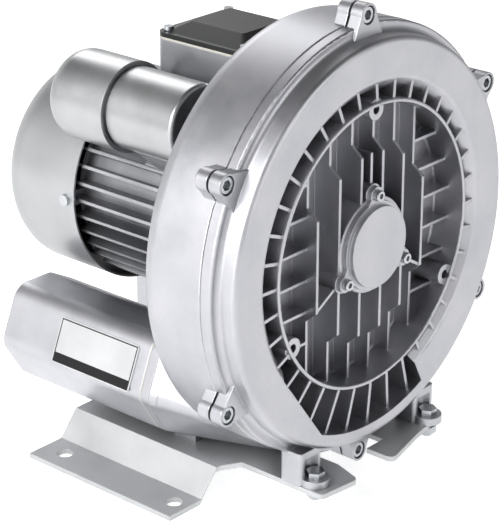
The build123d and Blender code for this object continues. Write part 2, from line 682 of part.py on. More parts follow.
def blower_casing():
    """Drum-shaped casing: the other half of the side channel, the motor seat and both port necks."""
    drum = turned([
        (0, CASING_FLOOR),
        (CASING_RIM_IN_R, CASING_FLOOR),
        (CASING_RIM_IN_R, 0),
        (COLLAR_IN_R, 0),
        (COLLAR_IN_R, -COLLAR_DEPTH),
        (CASING_R, -COLLAR_DEPTH, 1),
        (CASING_R, CASING_DEPTH, CASING_BACK_R),
        (CASING_RECESS_R + 6, CASING_DEPTH, 3),
        (CASING_RECESS_R, MOTOR_SPIGOT + 4, 2),
        (CASING_RECESS_R - 4, MOTOR_SPIGOT),
        (SEAL_OD / 2 + 8, MOTOR_SPIGOT),
        (SEAL_OD / 2 + 6, MOTOR_SPIGOT + 5, 2),
        (0, MOTOR_SPIGOT + 5),
    ])
    extra = [around(prism(lug_sketch(), -COLLAR_DEPTH, CASING_LUG_DEPTH), angle) for angle in lug_angles()]
    for side in (-1, 1):
        extra.append(neck_solid(side, 0, NECK_FRONT, SILENCER_SEAM - NECK_FLANGE_T + 1))
        extra.append(prism(rounded(neck_section(side)), SILENCER_SEAM - NECK_FLANGE_T, SILENCER_SEAM))
        extra.append(block(
            side * LEG_X - NECK_FOOT_HALF, side * LEG_X + NECK_FOOT_HALF,
            NECK_BOLT - NECK_FOOT_HALF, SILENCER_SEAM, FOOT_TOP_Z, SILENCER_FLOOR_Z + 2,
        ))
    casing = drum.fuse(*extra)
    holes = [channel_air(CASING_FLOOR, CASING_CHANNEL_DEPTH, 1)]
    holes.append(disc(CASING_RIM_IN_R, -1, CASING_FLOOR))
    holes.append(disc(COLLAR_IN_R, -COLLAR_DEPTH - 1, 0))
    for side in (-1, 1):
        holes.append(neck_solid(side, SILENCER_WALL, CASING_FLOOR + CASING_CHANNEL_DEPTH / 2, SILENCER_SEAM + 1))
        thread = Cylinder(LEG_BOLT_D / 2 + FIT_GAP, 2 * NECK_THREAD)
        holes.append(Pos(side * LEG_X, PARTING_Y + NECK_BOLT, FOOT_TOP_Z) * thread)
    holes.append(disc(SHAFT_R + 2, CASING_FLOOR - 1, MOTOR_SPIGOT + 6))
    holes.append(disc(SEAL_OD / 2 + FIT_GAP, MOTOR_SPIGOT + 5 - SEAL_WIDTH - 0.5, MOTOR_SPIGOT + 6))
    for angle in lug_angles():
        x, z = polar(LUG_R, angle)
        holes.append(disc(CASING_SCREW_D / 2 + FIT_GAP, -COLLAR_DEPTH - 1, CASING_LUG_DEPTH + 1, x, z))
    for angle in motor_bolt_angles():
        x, z = polar(MOTOR_BOLT_R, angle)
        holes.append(disc(MOTOR_BOLT_D / 2 + FIT_GAP, MOTOR_SPIGOT - 4, MOTOR_SPIGOT + 12, x, z))
    casing = casing.cut(*holes)
    bosses = []
    threads = []
    for side in (-1, 1):
        for x, z in silencer_bolt_places(side):
            bosses.append(disc(SILENCER_BOLT_D + 2, SILENCER_SEAM - NECK_BOSS, SILENCER_SEAM, x, z))
            bore = disc(SILENCER_BOLT_D / 2 + FIT_GAP, SILENCER_SEAM - NECK_BOSS + 3, SILENCER_SEAM + 1, x, z)
            threads.append(bore)
    return casing.fuse(*bosses).cut(*threads)


def silencer_bolt_places(side):
    """Three long bolts per silencer, inside the housing's corners, measured from the shaft."""
    inset = BOLT_INSET
    places = [
        (SILENCER_IN_X + inset, SILENCER_FLOOR_Z + inset + BOLT_SHIFT),
        (SILENCER_OUT_X - inset - BOLT_SHIFT, SILENCER_CREASE_Z + BOLT_SHIFT / 2),
        (SILENCER_TOP_IN_X + BOLT_SHIFT * 2, SILENCER_TOP_Z - inset),
    ]
    return [(side * x, z - SHAFT_HEIGHT) for x, z in places]


def motor_bolt_angles():
    return [45.0, 135.0, 225.0, 315.0]


def casing_screws():
    """Socket head screws that hold the cover to the casing, one in each lug."""
    screws = []
    for angle in lug_angles():
        x, z = polar(LUG_R, angle)
        screws.append(socket_screw(
            CASING_SCREW_D, CASING_SCREW_HEAD_D, CASING_SCREW_HEAD_H, CASING_SCREW_LENGTH,
            -SCREW_SEAT, x, z, 0.6,
        ))
    return Compound(screws)


def impeller():
    """Double-sided impeller: hub, disc and a bladed ring that runs in the side channel."""
    middle = (IMPELLER_FRONT + IMPELLER_BACK) / 2
    web = turned([
        (0, IMPELLER_FRONT + 1.5),
        (IMPELLER_HUB_R, IMPELLER_FRONT + 1.5, 1),
        (IMPELLER_HUB_R + 2, middle - IMPELLER_DISC_T / 2, 3),
        (IMPELLER_BAND_IN_R, middle - IMPELLER_DISC_T / 2, 3),
        (IMPELLER_BAND_IN_R + 1, IMPELLER_FRONT),
        (IMPELLER_BUCKET_R, IMPELLER_FRONT),
        (IMPELLER_BUCKET_R + 5, middle - IMPELLER_WEB_T, 8),
        (IMPELLER_R, middle - IMPELLER_WEB_T / 2),
        (IMPELLER_R, middle + IMPELLER_WEB_T / 2),
        (IMPELLER_BUCKET_R + 5, middle + IMPELLER_WEB_T, 8),
        (IMPELLER_BUCKET_R, IMPELLER_BACK),
        (IMPELLER_BAND_IN_R + 1, IMPELLER_BACK),
        (IMPELLER_BAND_IN_R, middle + IMPELLER_DISC_T / 2, 3),
        (IMPELLER_HUB_R + 2, middle + IMPELLER_DISC_T / 2, 3),
        (IMPELLER_HUB_R, IMPELLER_BACK, 1),
        (0, IMPELLER_BACK),
    ])
    blade = block(
        IMPELLER_BUCKET_R - 2, IMPELLER_R, IMPELLER_FRONT, IMPELLER_BACK,
        SHAFT_HEIGHT - BLADE_T / 2, SHAFT_HEIGHT + BLADE_T / 2,
    )
    blades = [around(blade, 360 / BLADE_COUNT * n) for n in range(BLADE_COUNT)]
    wheel = web.fuse(*blades)
    wheel -= disc(JOURNAL_R + 0.02, IMPELLER_FRONT - 2, IMPELLER_BACK + 2)
    wheel -= key_block(0.05, IMPELLER_FRONT - 2, IMPELLER_BACK + 2)
    return wheel & disc(IMPELLER_R, IMPELLER_FRONT, IMPELLER_BACK)


def key_block(gap, front, back):
    """Feather key in the top of the shaft, or its keyway when a gap is given."""
    low = SHAFT_HEIGHT + JOURNAL_R - KEY_HEIGHT / 2
    return block(
        -KEY_WIDTH / 2 - gap, KEY_WIDTH / 2 + gap, front, back, low - gap, low + KEY_HEIGHT * 0.9 + gap,
    )


def impeller_key():
    return key_block(0, IMPELLER_FRONT + 2, IMPELLER_BACK - 1)


def spacer_sleeve():
    """Sleeve between the front bearing and the impeller; the front seal runs on it."""
    back = IMPELLER_FRONT + 1.5
    return disc(SPACER_OD / 2, BEARING_BACK, back) - disc(JOURNAL_R + 0.02, BEARING_BACK - 1, back + 1)


def shaft():
    """Stepped shaft through impeller, rotor and fan, with the impeller's keyway."""
    nose = BEARING_FRONT - 2
    body = turned([
        (0, nose),
        (JOURNAL_R - 1, nose),
        (JOURNAL_R, nose + 1),
        (JOURNAL_R, IMPELLER_BACK),
        (SHAFT_R, IMPELLER_BACK),
        (SHAFT_R, REAR_BEARING_FRONT),
        (REAR_BEARING_ID / 2, REAR_BEARING_FRONT),
        (REAR_BEARING_ID / 2, REAR_BEARING_BACK + 4),
        (FAN_SEAT_D / 2, REAR_BEARING_BACK + 4),
        (FAN_SEAT_D / 2, FAN_BACK + 3),
        (FAN_SEAT_D / 2 - 1, FAN_BACK + 4),
        (0, FAN_BACK + 4),
    ])
    return body - key_block(0.05, IMPELLER_FRONT + 1.9, IMPELLER_BACK - 0.9)


def shaft_circlip():
    """Retaining ring that holds the front bearing on the shaft's nose."""
    groove = JOURNAL_R + 0.02
    ring = disc(JOURNAL_R + 3, BEARING_FRONT - 1.5, BEARING_FRONT) - disc(groove, BEARING_FRONT - 3, BEARING_FRONT + 1)
    return ring - block(
        -3, 3, BEARING_FRONT - 3, BEARING_FRONT + 1, SHAFT_HEIGHT, SHAFT_HEIGHT + JOURNAL_R + 5,
    )


# ---------------------------------------------------------------- motor
def motor_fin_angles():
    """Fins all round the motor, apart from the terminal box seat and the capacitor's pad."""
    angles = [MOTOR_FIN_PITCH_DEG * n for n in range(int(360 / MOTOR_FIN_PITCH_DEG))]
    return [a for a in angles if not 65 < a < 115 and not 132 < a < 148]


def motor_housing():
    """Finned aluminium motor housing with the flange that seats in the casing."""
    barrel = turned([
        (MOTOR_BORE_R, MOTOR_SPIGOT),
        (MOTOR_FLANGE_R, MOTOR_SPIGOT),
        (MOTOR_FLANGE_R, MOTOR_SPIGOT + MOTOR_FLANGE_T, 2),
        (MOTOR_ROOT_R, MOTOR_SPIGOT + MOTOR_FLANGE_T + 6, 6),
        (MOTOR_ROOT_R, MOTOR_BACK),
        (MOTOR_BORE_R, MOTOR_BACK),
    ])
    extra = []
    for angle in motor_fin_angles():
        fin = block(
            MOTOR_ROOT_R - 1, MOTOR_FIN_R, CASING_DEPTH - 2, MOTOR_BACK - 2,
            SHAFT_HEIGHT - MOTOR_FIN_T / 2, SHAFT_HEIGHT + MOTOR_FIN_T / 2,
        )
        extra.append(around(fin, angle))
    extra.append(block(
        -BOX_NECK_HALF, BOX_NECK_HALF, BOX_FRONT + 4, BOX_BACK - 4,
        SHAFT_HEIGHT + MOTOR_ROOT_R - 12, BOX_SEAT_Z,
    ))
    for angle in motor_bolt_angles():
        x, z = polar(MOTOR_TIE_R, angle)
        extra.append(disc(6, MOTOR_BACK - 26, MOTOR_BACK, x, z))
    pad = block(
        MOTOR_ROOT_R - 4, MOTOR_FIN_R + 1, CAP_FRONT + 2, CAP_SEAM - 6,
        SHAFT_HEIGHT - CAP_PAD_HALF, SHAFT_HEIGHT + CAP_PAD_HALF,
    )
    extra.append(around(pad, CAP_PAD_DEG))
    housing = barrel.fuse(*extra)
    holes = [disc(MOTOR_BORE_R, MOTOR_SPIGOT - 1, MOTOR_BACK + 1)]
    for angle in motor_bolt_angles():
        x, z = polar(MOTOR_BOLT_R, angle)
        holes.append(disc(MOTOR_BOLT_D / 2 + 0.5, MOTOR_SPIGOT - 1, MOTOR_SPIGOT + MOTOR_FLANGE_T + 1, x, z))
        holes.append(disc(MOTOR_BOLT_D * 1.1, MOTOR_SPIGOT + MOTOR_FLANGE_T, CASING_DEPTH + 30, x, z))
        x, z = polar(MOTOR_TIE_R, angle)
        holes.append(disc(TIE_D / 2 + FIT_GAP, MOTOR_BACK - 22, MOTOR_BACK + 1, x, z))
    wire = Cylinder(9, 40, align=(Align.CENTER, Align.CENTER, Align.MIN))
    holes.append(Pos(0, PARTING_Y + (BOX_FRONT + BOX_BACK) / 2, SHAFT_HEIGHT + MOTOR_BORE_R - 6) * wire)
    return housing.cut(*holes, cap_screw_rods(CAP_SCREW_D / 2 + FIT_GAP, MOTOR_FIN_R - 8, MOTOR_FIN_R + 2))


def motor_screws():
    """Screws that hold the motor's flange in the casing's recess, put in from the motor side."""
    screws = []
    for angle in motor_bolt_angles():
        x, z = polar(MOTOR_BOLT_R, angle)
        seat = MOTOR_SPIGOT + MOTOR_FLANGE_T
        screw = disc(MOTOR_BOLT_D / 2, MOTOR_SPIGOT - 3, seat, x, z)
        screws.append(screw + prism(Pos(x, z) * RegularPolygon(MOTOR_BOLT_D * 0.95, 6), seat, seat + 5))
    return Compound(screws)


def stator_core():
    """Laminated stator with its ring of winding slots open to the rotor."""
    back = STATOR_FRONT + STATOR_LENGTH
    ring = Circle(MOTOR_BORE_R - FIT_GAP) - Circle(ROTOR_R + AIR_GAP)
    slot = Pos((WINDING_IN_R + WINDING_OUT_R) / 2, 0) * Rectangle(WINDING_OUT_R - WINDING_IN_R, 3.4)
    for n in range(SLOT_COUNT):
        ring -= Rot(0, 0, 360 / SLOT_COUNT * n) * slot
    return prism(ring, STATOR_FRONT, back)


def windings():
    """Copper coils: a bundle in every slot and a bound ring at either end."""
    back = STATOR_FRONT + STATOR_LENGTH
    ends = []
    for start in (STATOR_FRONT - WINDING_OVERHANG, back):
        ends.append(turned([
            (WINDING_IN_R, start),
            (WINDING_OUT_R, start),
            (WINDING_OUT_R, start + WINDING_OVERHANG),
            (WINDING_IN_R, start + WINDING_OVERHANG),
        ]))
    bar = block(
        WINDING_IN_R + 1, WINDING_OUT_R - 1, STATOR_FRONT - 4, back + 4,
        SHAFT_HEIGHT - 1.5, SHAFT_HEIGHT + 1.5,
    )
    bars = [around(bar, 360 / SLOT_COUNT * n) for n in range(SLOT_COUNT)]
    return ends[0].fuse(ends[1], *bars)


def rotor_core():
    """Squirrel-cage rotor: laminated core with a cast ring at either end."""
    back = STATOR_FRONT + STATOR_LENGTH
    body = disc(ROTOR_R, STATOR_FRONT, back)
    for start in (STATOR_FRONT - 8, back):
        body += disc(ROTOR_R - 1.5, start, start + 8) - disc(ROTOR_R - 11, start - 1, start + 9)
    return body - disc(SHAFT_R + 0.02, STATOR_FRONT - 10, back + 10)


def rear_end_shield():
    """Rear end shield with the seat of the rear bearing."""
    bearing_r = REAR_BEARING_OD / 2 + FIT_GAP
    shield = turned([
        (0, REAR_BEARING_BACK + 3),
        (bearing_r + 5, REAR_BEARING_BACK + 3, 2),
        (bearing_r + 7, MOTOR_BACK + SHIELD_T, 3),
        (MOTOR_ROOT_R, MOTOR_BACK + SHIELD_T, 2),
        (MOTOR_ROOT_R, MOTOR_BACK),
        (MOTOR_BORE_R - FIT_GAP, MOTOR_BACK),
        (MOTOR_BORE_R - FIT_GAP, MOTOR_BACK - 4),
        (MOTOR_BORE_R - 6, MOTOR_BACK - 4),
        (MOTOR_BORE_R - 6, MOTOR_BACK),
        (bearing_r + 5, MOTOR_BACK),
        (bearing_r + 5, REAR_BEARING_FRONT),
        (0, REAR_BEARING_FRONT),
    ])
    extra = []
    for angle in motor_bolt_angles():
        x, z = polar(MOTOR_TIE_R, angle)
        extra.append(disc(7, MOTOR_BACK, MOTOR_BACK + SHIELD_T, x, z))
        x, z = polar(COWL_R - COWL_T - 6, angle + 45)
        lug = disc(5, MOTOR_BACK, MOTOR_BACK + SHIELD_T, x, z)
        web = block(
            MOTOR_ROOT_R - 2, COWL_R - COWL_T - SEAT_GAP, MOTOR_BACK, MOTOR_BACK + SHIELD_T,
            SHAFT_HEIGHT - 6, SHAFT_HEIGHT + 6,
        )
        extra += [lug, around(web, angle + 45)]
    shield = shield.fuse(*extra)
    holes = [
        disc(bearing_r, REAR_BEARING_FRONT - 1, REAR_BEARING_BACK),
        disc(REAR_BEARING_ID / 2 + 1.5, REAR_BEARING_BACK - 1, REAR_BEARING_BACK + 4),
    ]
    for angle in motor_bolt_angles():
        x, z = polar(MOTOR_TIE_R, angle)
        holes.append(disc(TIE_D / 2 + 0.4, MOTOR_BACK - 1, MOTOR_BACK + SHIELD_T + 1, x, z))
        hole = Cylinder(COWL_SCREW_D / 2 + FIT_GAP, 10, rotation=(0, 90, 0))
        middle = Pos(COWL_R - COWL_T - 4, PARTING_Y + MOTOR_BACK + SHIELD_T / 2, SHAFT_HEIGHT) * hole
        holes.append(around(middle, angle + 45))
    return shield.cut(*holes)


def tie_bolts():
    """Bolts that hold the rear end shield to the motor housing."""
    bolts = []
    for angle in motor_bolt_angles():
        x, z = polar(MOTOR_TIE_R, angle)
        seat = MOTOR_BACK + SHIELD_T
        bolt = disc(TIE_D / 2, MOTOR_BACK - 20, seat, x, z)
        bolts.append(bolt + prism(Pos(x, z) * RegularPolygon(TIE_D, 6), seat, seat + 4))
    return Compound(bolts)


def cooling_fan():
    """Radial fan on the shaft's rear end: a dished disc with straight blades either way round."""
    hub = turned([
        (FAN_SEAT_D / 2 + 0.02, FAN_FRONT),
        (FAN_SEAT_D / 2 + 7, FAN_FRONT),
        (FAN_SEAT_D / 2 + 7, FAN_FRONT + 8, 4),
        (FAN_R, FAN_FRONT + 4),
        (FAN_R, FAN_FRONT + 6),
        (FAN_SEAT_D / 2 + 6, FAN_FRONT + 11, 4),
        (FAN_SEAT_D / 2 + 6, FAN_BACK),
        (FAN_SEAT_D / 2 + 0.02, FAN_BACK),
    ])
    outline = Polyline(
        (FAN_SEAT_D / 2 + 4, FAN_FRONT + 9),
        (FAN_R - 1, FAN_FRONT + 4.5),
        (FAN_R - 1, FAN_BACK - 6),
        (FAN_R - 30, FAN_BACK),
        (FAN_SEAT_D / 2 + 4, FAN_BACK - 4),
        close=True,
    )
    flat = Pos(0, PARTING_Y, SHAFT_HEIGHT - 1) * make_face(outline)
    blade = extrude(flat, amount=2, dir=(0, 0, 1))
    return hub.fuse(*[around(blade, 360 / FAN_BLADES * n) for n in range(FAN_BLADES)])


def fan_clip():
    """Retaining ring behind the fan."""
    ring = disc(FAN_SEAT_D / 2 + 3, FAN_BACK, FAN_BACK + 1.5) - disc(FAN_SEAT_D / 2 + 0.02, FAN_BACK - 1, FAN_BACK + 3)
    return ring - block(-3, 3, FAN_BACK - 1, FAN_BACK + 3, SHAFT_HEIGHT, SHAFT_HEIGHT + FAN_SEAT_D)


def fan_cowl():
    """Deep-drawn sheet cowl over the fan, with rings of air slots in its end."""
    outside = turned([
        (0, COWL_FRONT),
        (COWL_R, COWL_FRONT),
        (COWL_R, COWL_BACK, COWL_EDGE_R),
        (0, COWL_BACK),
    ])
    inside = turned([
        (0, COWL_FRONT - 1),
        (COWL_R - COWL_T, COWL_FRONT - 1),
        (COWL_R - COWL_T, COWL_BACK - COWL_T, COWL_EDGE_R - COWL_T),
        (0, COWL_BACK - COWL_T),
    ])
    slots = []
    for ring in range(GRILLE_RINGS):
        inner = GRILLE_IN_R + ring * GRILLE_PITCH
        band = Circle(inner + GRILLE_PITCH - GRILLE_BAR) - Circle(inner)
        for n in range(GRILLE_SPOKES):
            band -= Rot(0, 0, 360 / GRILLE_SPOKES * n) * Rectangle(GRILLE_BAR, 2 * COWL_R)
        slots.append(prism(band, COWL_BACK - 5, COWL_BACK + 1))
    for angle in motor_bolt_angles():
        hole = Cylinder(COWL_SCREW_D / 2 + 0.4, 8, rotation=(0, 90, 0))
        middle = Pos(COWL_R, PARTING_Y + MOTOR_BACK + SHIELD_T / 2, SHAFT_HEIGHT) * hole
        slots.append(around(middle, angle + 45))
    return (outside - inside).cut(*slots)


def cowl_screws():
    """Short round-headed screws that hold the cowl to the rear end shield."""
    screws = []
    for angle in motor_bolt_angles():
        screw = Pos(COWL_R + 1.25, 0, 0) * Cylinder(COWL_SCREW_D * 0.9, 2.5, rotation=(0, 90, 0))
        screw += Pos(COWL_R - 3.5, 0, 0) * Cylinder(COWL_SCREW_D / 2, 7, rotation=(0, 90, 0))
        placed = Pos(0, PARTING_Y + MOTOR_BACK + SHIELD_T / 2, SHAFT_HEIGHT) * screw
        screws.append(around(placed, angle + 45))
    return Compound(screws)


# ---------------------------------------------------------------- terminal box
def terminal_box_base():
    """Cast terminal box: a neck on the motor's seat and a tray for the terminal block."""
    tray = block(-BOX_HALF_WIDTH, BOX_HALF_WIDTH, BOX_FRONT, BOX_BACK, BOX_FLOOR_Z, BOX_SPLIT_Z)
    tray = fillet(tray.edges().filter_by(Axis.Z), 8)
    neck = block(
        -BOX_NECK_HALF, BOX_NECK_HALF, BOX_FRONT + 4, BOX_BACK - 4, BOX_SEAT_Z, BOX_FLOOR_Z + 1,
    )
    inside = block(
        -BOX_HALF_WIDTH + BOX_WALL, BOX_HALF_WIDTH - BOX_WALL, BOX_FRONT + BOX_WALL, BOX_BACK - BOX_WALL,
        BOX_FLOOR_Z + BOX_WALL, BOX_SPLIT_Z + 1,
    )
    inside = fillet(inside.edges().filter_by(Axis.Z), 5)
    shell = tray + neck - inside
    for x, y in lid_screw_places():
        post = Cylinder(LID_POST_R, BOX_SPLIT_Z - BOX_FLOOR_Z, align=(Align.CENTER, Align.CENTER, Align.MIN))
        shell += Pos(x, PARTING_Y + y, BOX_FLOOR_Z) * post
        hole = Cylinder(LID_SCREW_D / 2 + FIT_GAP, 20, align=(Align.CENTER, Align.CENTER, Align.MAX))
        shell -= Pos(x, PARTING_Y + y, BOX_SPLIT_Z + 1) * hole
    wire = Cylinder(9, BOX_FLOOR_Z - BOX_SEAT_Z + 20, align=(Align.CENTER, Align.CENTER, Align.MIN))
    shell -= Pos(0, PARTING_Y + (BOX_FRONT + BOX_BACK) / 2, BOX_SEAT_Z - 2) * wire
    for y in gland_places():
        hole = Cylinder(GLAND_THREAD_R + FIT_GAP, 12, rotation=(0, 90, 0))
        shell -= Pos(BOX_HALF_WIDTH, PARTING_Y + y, gland_height()) * hole
    return shell


def lid_screw_places():
    x = BOX_HALF_WIDTH - LID_SCREW_INSET
    return [(sx * x, y) for sx in (-1, 1) for y in (BOX_FRONT + LID_SCREW_INSET, BOX_BACK - LID_SCREW_INSET)]


def gland_places():
    middle = (BOX_FRONT + BOX_BACK) / 2
    return [middle - GLAND_PITCH / 2, middle + GLAND_PITCH / 2]


def gland_height():
    return (BOX_FLOOR_Z + BOX_WALL + BOX_SPLIT_Z) / 2


def terminal_box_gasket():
    plate = block(
        -BOX_HALF_WIDTH, BOX_HALF_WIDTH, BOX_FRONT, BOX_BACK, BOX_SPLIT_Z, BOX_SPLIT_Z + BOX_GASKET_T,
    )
    plate = fillet(plate.edges().filter_by(Axis.Z), 8)
    hole = block(
        -BOX_HALF_WIDTH + BOX_WALL, BOX_HALF_WIDTH - BOX_WALL, BOX_FRONT + BOX_WALL, BOX_BACK - BOX_WALL,
        BOX_SPLIT_Z - 1, BOX_SPLIT_Z + BOX_GASKET_T + 1,
    )
    gasket = plate - hole
    for x, y in lid_screw_places():
        eye = Cylinder(LID_POST_R, BOX_GASKET_T, align=(Align.CENTER, Align.CENTER, Align.MIN))
        hole = Cylinder(LID_SCREW_D / 2 + 0.3, 4)
        place = Pos(x, PARTING_Y + y, BOX_SPLIT_Z)
        gasket = gasket + place * eye - place * hole
    return gasket


def terminal_box_lid():
    """Moulded lid: a flat skirt under a roof with four wide slopes."""
    low = BOX_SPLIT_Z + BOX_GASKET_T
    middle = PARTING_Y + (BOX_FRONT + BOX_BACK) / 2
    skirt = block(-BOX_HALF_WIDTH, BOX_HALF_WIDTH, BOX_FRONT, BOX_BACK, low, low + LID_SKIRT)
    skirt = fillet(skirt.edges().filter_by(Axis.Z), 8)
    width, length = 2 * BOX_HALF_WIDTH, BOX_BACK - BOX_FRONT
    foot = Pos(0, middle, low + LID_SKIRT) * RectangleRounded(width - 2 * LID_STEP, length - 2 * LID_STEP, 6)
    inset = 2 * (LID_STEP + LID_SLOPE)
    top = Pos(0, middle, low + LID_HEIGHT) * RectangleRounded(width - inset, length - inset, 3)
    lid = skirt + loft([foot, top], ruled=True)
    lid -= block(
        -(width - inset) / 2, (width - inset) / 2, BOX_FRONT + inset / 2, BOX_BACK - inset / 2,
        low - 1, low + LID_HEIGHT - BOX_WALL,
    )
    for x, y in lid_screw_places():
        place = Pos(x, PARTING_Y + y, low)
        hole = Cylinder(LID_SCREW_D / 2 + 0.3, LID_HEIGHT * 3)
        bore = Cylinder(LID_SCREW_D, LID_HEIGHT, align=(Align.CENTER, Align.CENTER, Align.MIN))
        lid = lid - place * hole - place * Pos(0, 0, LID_HEIGHT - LID_SINK) * bore
    return lid


def terminal_lid_screws():
    screws = []
    seat = BOX_SPLIT_Z + BOX_GASKET_T + LID_HEIGHT - LID_SINK
    for x, y in lid_screw_places():
        head = Cylinder(LID_SCREW_D * 0.9, 3, align=(Align.CENTER, Align.CENTER, Align.MIN))
        shank = Cylinder(LID_SCREW_D / 2, LID_HEIGHT + 4, align=(Align.CENTER, Align.CENTER, Align.MAX))
        screws.append(Pos(x, PARTING_Y + y, seat) * (head + shank))
    return Compound(screws)


def terminal_block():
    """Insulating block with its row of terminal studs, screwed to the tray's floor."""
    middle = (BOX_FRONT + BOX_BACK) / 2
    low = BOX_FLOOR_Z + BOX_WALL
    half = BOX_HALF_WIDTH - BLOCK_CLEAR
    body = block(-half, half, middle + 12, middle + 34, low, low + 12)
    first = STUD_INSET - half
    for n in range(STUD_COUNT):
        stud = Cylinder(2.5, 9, align=(Align.CENTER, Align.CENTER, Align.MIN))
        body += Pos(first - 2 * first / (STUD_COUNT - 1) * n, PARTING_Y + middle + 23, low + 12) * stud
    return body


def gland_body(y, length):
    """Body of a gland or plug on the box's right wall: thread through the wall, then a hexagon."""
    plane = Plane(origin=(BOX_HALF_WIDTH, PARTING_Y + y, gland_height()), x_dir=(0, 1, 0), z_dir=(1, 0, 0))
    thread = extrude(plane * Circle(GLAND_THREAD_R), amount=-BOX_WALL - 5)
    return plane, thread + extrude(plane * RegularPolygon(GLAND_THREAD_R * 1.35, 6, rotation=90), amount=length)


def cable_gland():
    """Cable gland with a domed nut and the bore that the supply cable goes through."""
    plane, body = gland_body(gland_places()[0], 7)
    dome = Cylinder(GLAND_THREAD_R * 1.12, 16, align=(Align.CENTER, Align.CENTER, Align.MIN))
    dome = fillet(dome.faces().sort_by(Axis.Z)[-1].edges(), 5)
    body += plane * Pos(0, 0, 7) * dome
    bore = Cylinder(CABLE_R, 60)
    return body - plane * bore


def blanking_plug():
    """Plug in the spare cable entry."""
    plane, body = gland_body(gland_places()[1], 5)
    return body


def gland_nut():
    """Nuts inside the box that hold the gland and the plug."""
    nuts = []
    inner = BOX_HALF_WIDTH - BOX_WALL
    for y in gland_places():
        plane = Plane(origin=(inner, PARTING_Y + y, gland_height()), x_dir=(0, 1, 0), z_dir=(-1, 0, 0))
        ring = RegularPolygon(GLAND_THREAD_R * 1.3, 6, rotation=90) - Circle(GLAND_THREAD_R + FIT_GAP)
        nuts.append(extrude(plane * ring, amount=4))
    return Compound(nuts)


# ---------------------------------------------------------------- capacitor
def cap_tube(radius, front, back, round_front, round_back, wall):
    """Half of the capacitor's sheet housing, open at the seam: its closed end is the rounded one."""
    outer = cap_form(radius, front, back, round_front, round_back)
    lead = wall if round_front else -1
    tail = wall if round_back else -1
    inner_front = max(round_front - wall, 0)
    inner_back = max(round_back - wall, 0)
    return outer - cap_form(radius - wall, front + lead, back - tail, inner_front, inner_back)


def cap_form(radius, front, back, round_front, round_back):
    """Cylinder about the capacitor's axis with rounded ends."""
    first = (radius, front, round_front) if round_front else (radius, front)
    last = (radius, back, round_back) if round_back else (radius, back)
    return turned_about([(0, front), first, last, (0, back)], CAP_X, CAP_Z - SHAFT_HEIGHT)


def capacitor_front_shell():
    """Front half of the capacitor housing, with the foot that screws to the motor's pad."""
    return cap_tube(CAP_R, CAP_FRONT, CAP_SEAM - 1, 3, 0, CAP_SHELL_T)


def capacitor_rear_shell():
    """Domed rear half of the capacitor housing."""
    rear = cap_tube(CAP_REAR_R, CAP_SEAM + 1, CAP_BACK, 0, 16, CAP_SHELL_T)
    collar = disc(CAP_R - CAP_SHELL_T - FIT_GAP, CAP_SEAM - 7, CAP_SEAM + 8, CAP_X, CAP_Z - SHAFT_HEIGHT)
    step = disc(CAP_REAR_R - 0.5, CAP_SEAM + 1, CAP_SEAM + 8, CAP_X, CAP_Z - SHAFT_HEIGHT)
    bore = disc(CAP_R - 2 * CAP_SHELL_T, CAP_SEAM - 8, CAP_SEAM + 9, CAP_X, CAP_Z - SHAFT_HEIGHT)
    return rear + (collar + step - bore)


def run_capacitor():
    """Capacitor can inside the housing, with its two terminals."""
    z = CAP_Z - SHAFT_HEIGHT
    can = disc(CAP_CAN_R, CAP_FRONT + CAP_SHELL_T, CAP_BACK - 24, CAP_X, z)
    for dx in (-7, 7):
        can += disc(2.5, CAP_BACK - 24, CAP_BACK - 16, CAP_X + dx, z)
    return can


def cap_reach():
    """Distance from the shaft to the capacitor's axis, along the pad's direction."""
    x, z = polar(1, CAP_PAD_DEG)
    return CAP_X * x + (CAP_Z - SHAFT_HEIGHT) * z


def capacitor_bracket():
    """Saddle between the motor's pad and the capacitor housing, with a screw at either end."""
    low = MOTOR_FIN_R + 1
    half = CAP_PAD_HALF
    front = CAP_FRONT + 2
    back = CAP_SEAM - 6
    saddle = block(low, cap_reach(), front + 12, back - 12, SHAFT_HEIGHT - half, SHAFT_HEIGHT + half)
    base = block(low, low + 4, front, back, SHAFT_HEIGHT - half, SHAFT_HEIGHT + half)
    body = around(saddle + base, CAP_PAD_DEG)
    body -= disc(CAP_R + 0.02, CAP_FRONT - 5, CAP_BACK, CAP_X, CAP_Z - SHAFT_HEIGHT)
    return body - cap_screw_rods(CAP_SCREW_D / 2 + 0.3, low - 1, low + 5)


def cap_screw_rods(radius, low, high):
    """Rods at the bracket's two screw places, along the pad's direction."""
    rods = []
    for y in (CAP_FRONT + 8, CAP_SEAM - 12):
        rod = Cylinder(radius, high - low, rotation=(0, 90, 0))
        rods.append(around(Pos((low + high) / 2, PARTING_Y + y, SHAFT_HEIGHT) * rod, CAP_PAD_DEG))
    return Compound(rods)


def capacitor_screws():
    seat = MOTOR_FIN_R + 5
    screws = []
    for head, shank in zip(
        cap_screw_rods(CAP_SCREW_D * 0.85, seat, seat + 3).solids(),
        cap_screw_rods(CAP_SCREW_D / 2, seat - 11, seat + 1).solids(),
    ):
        screws.append(head + shank)
    return Compound(screws)


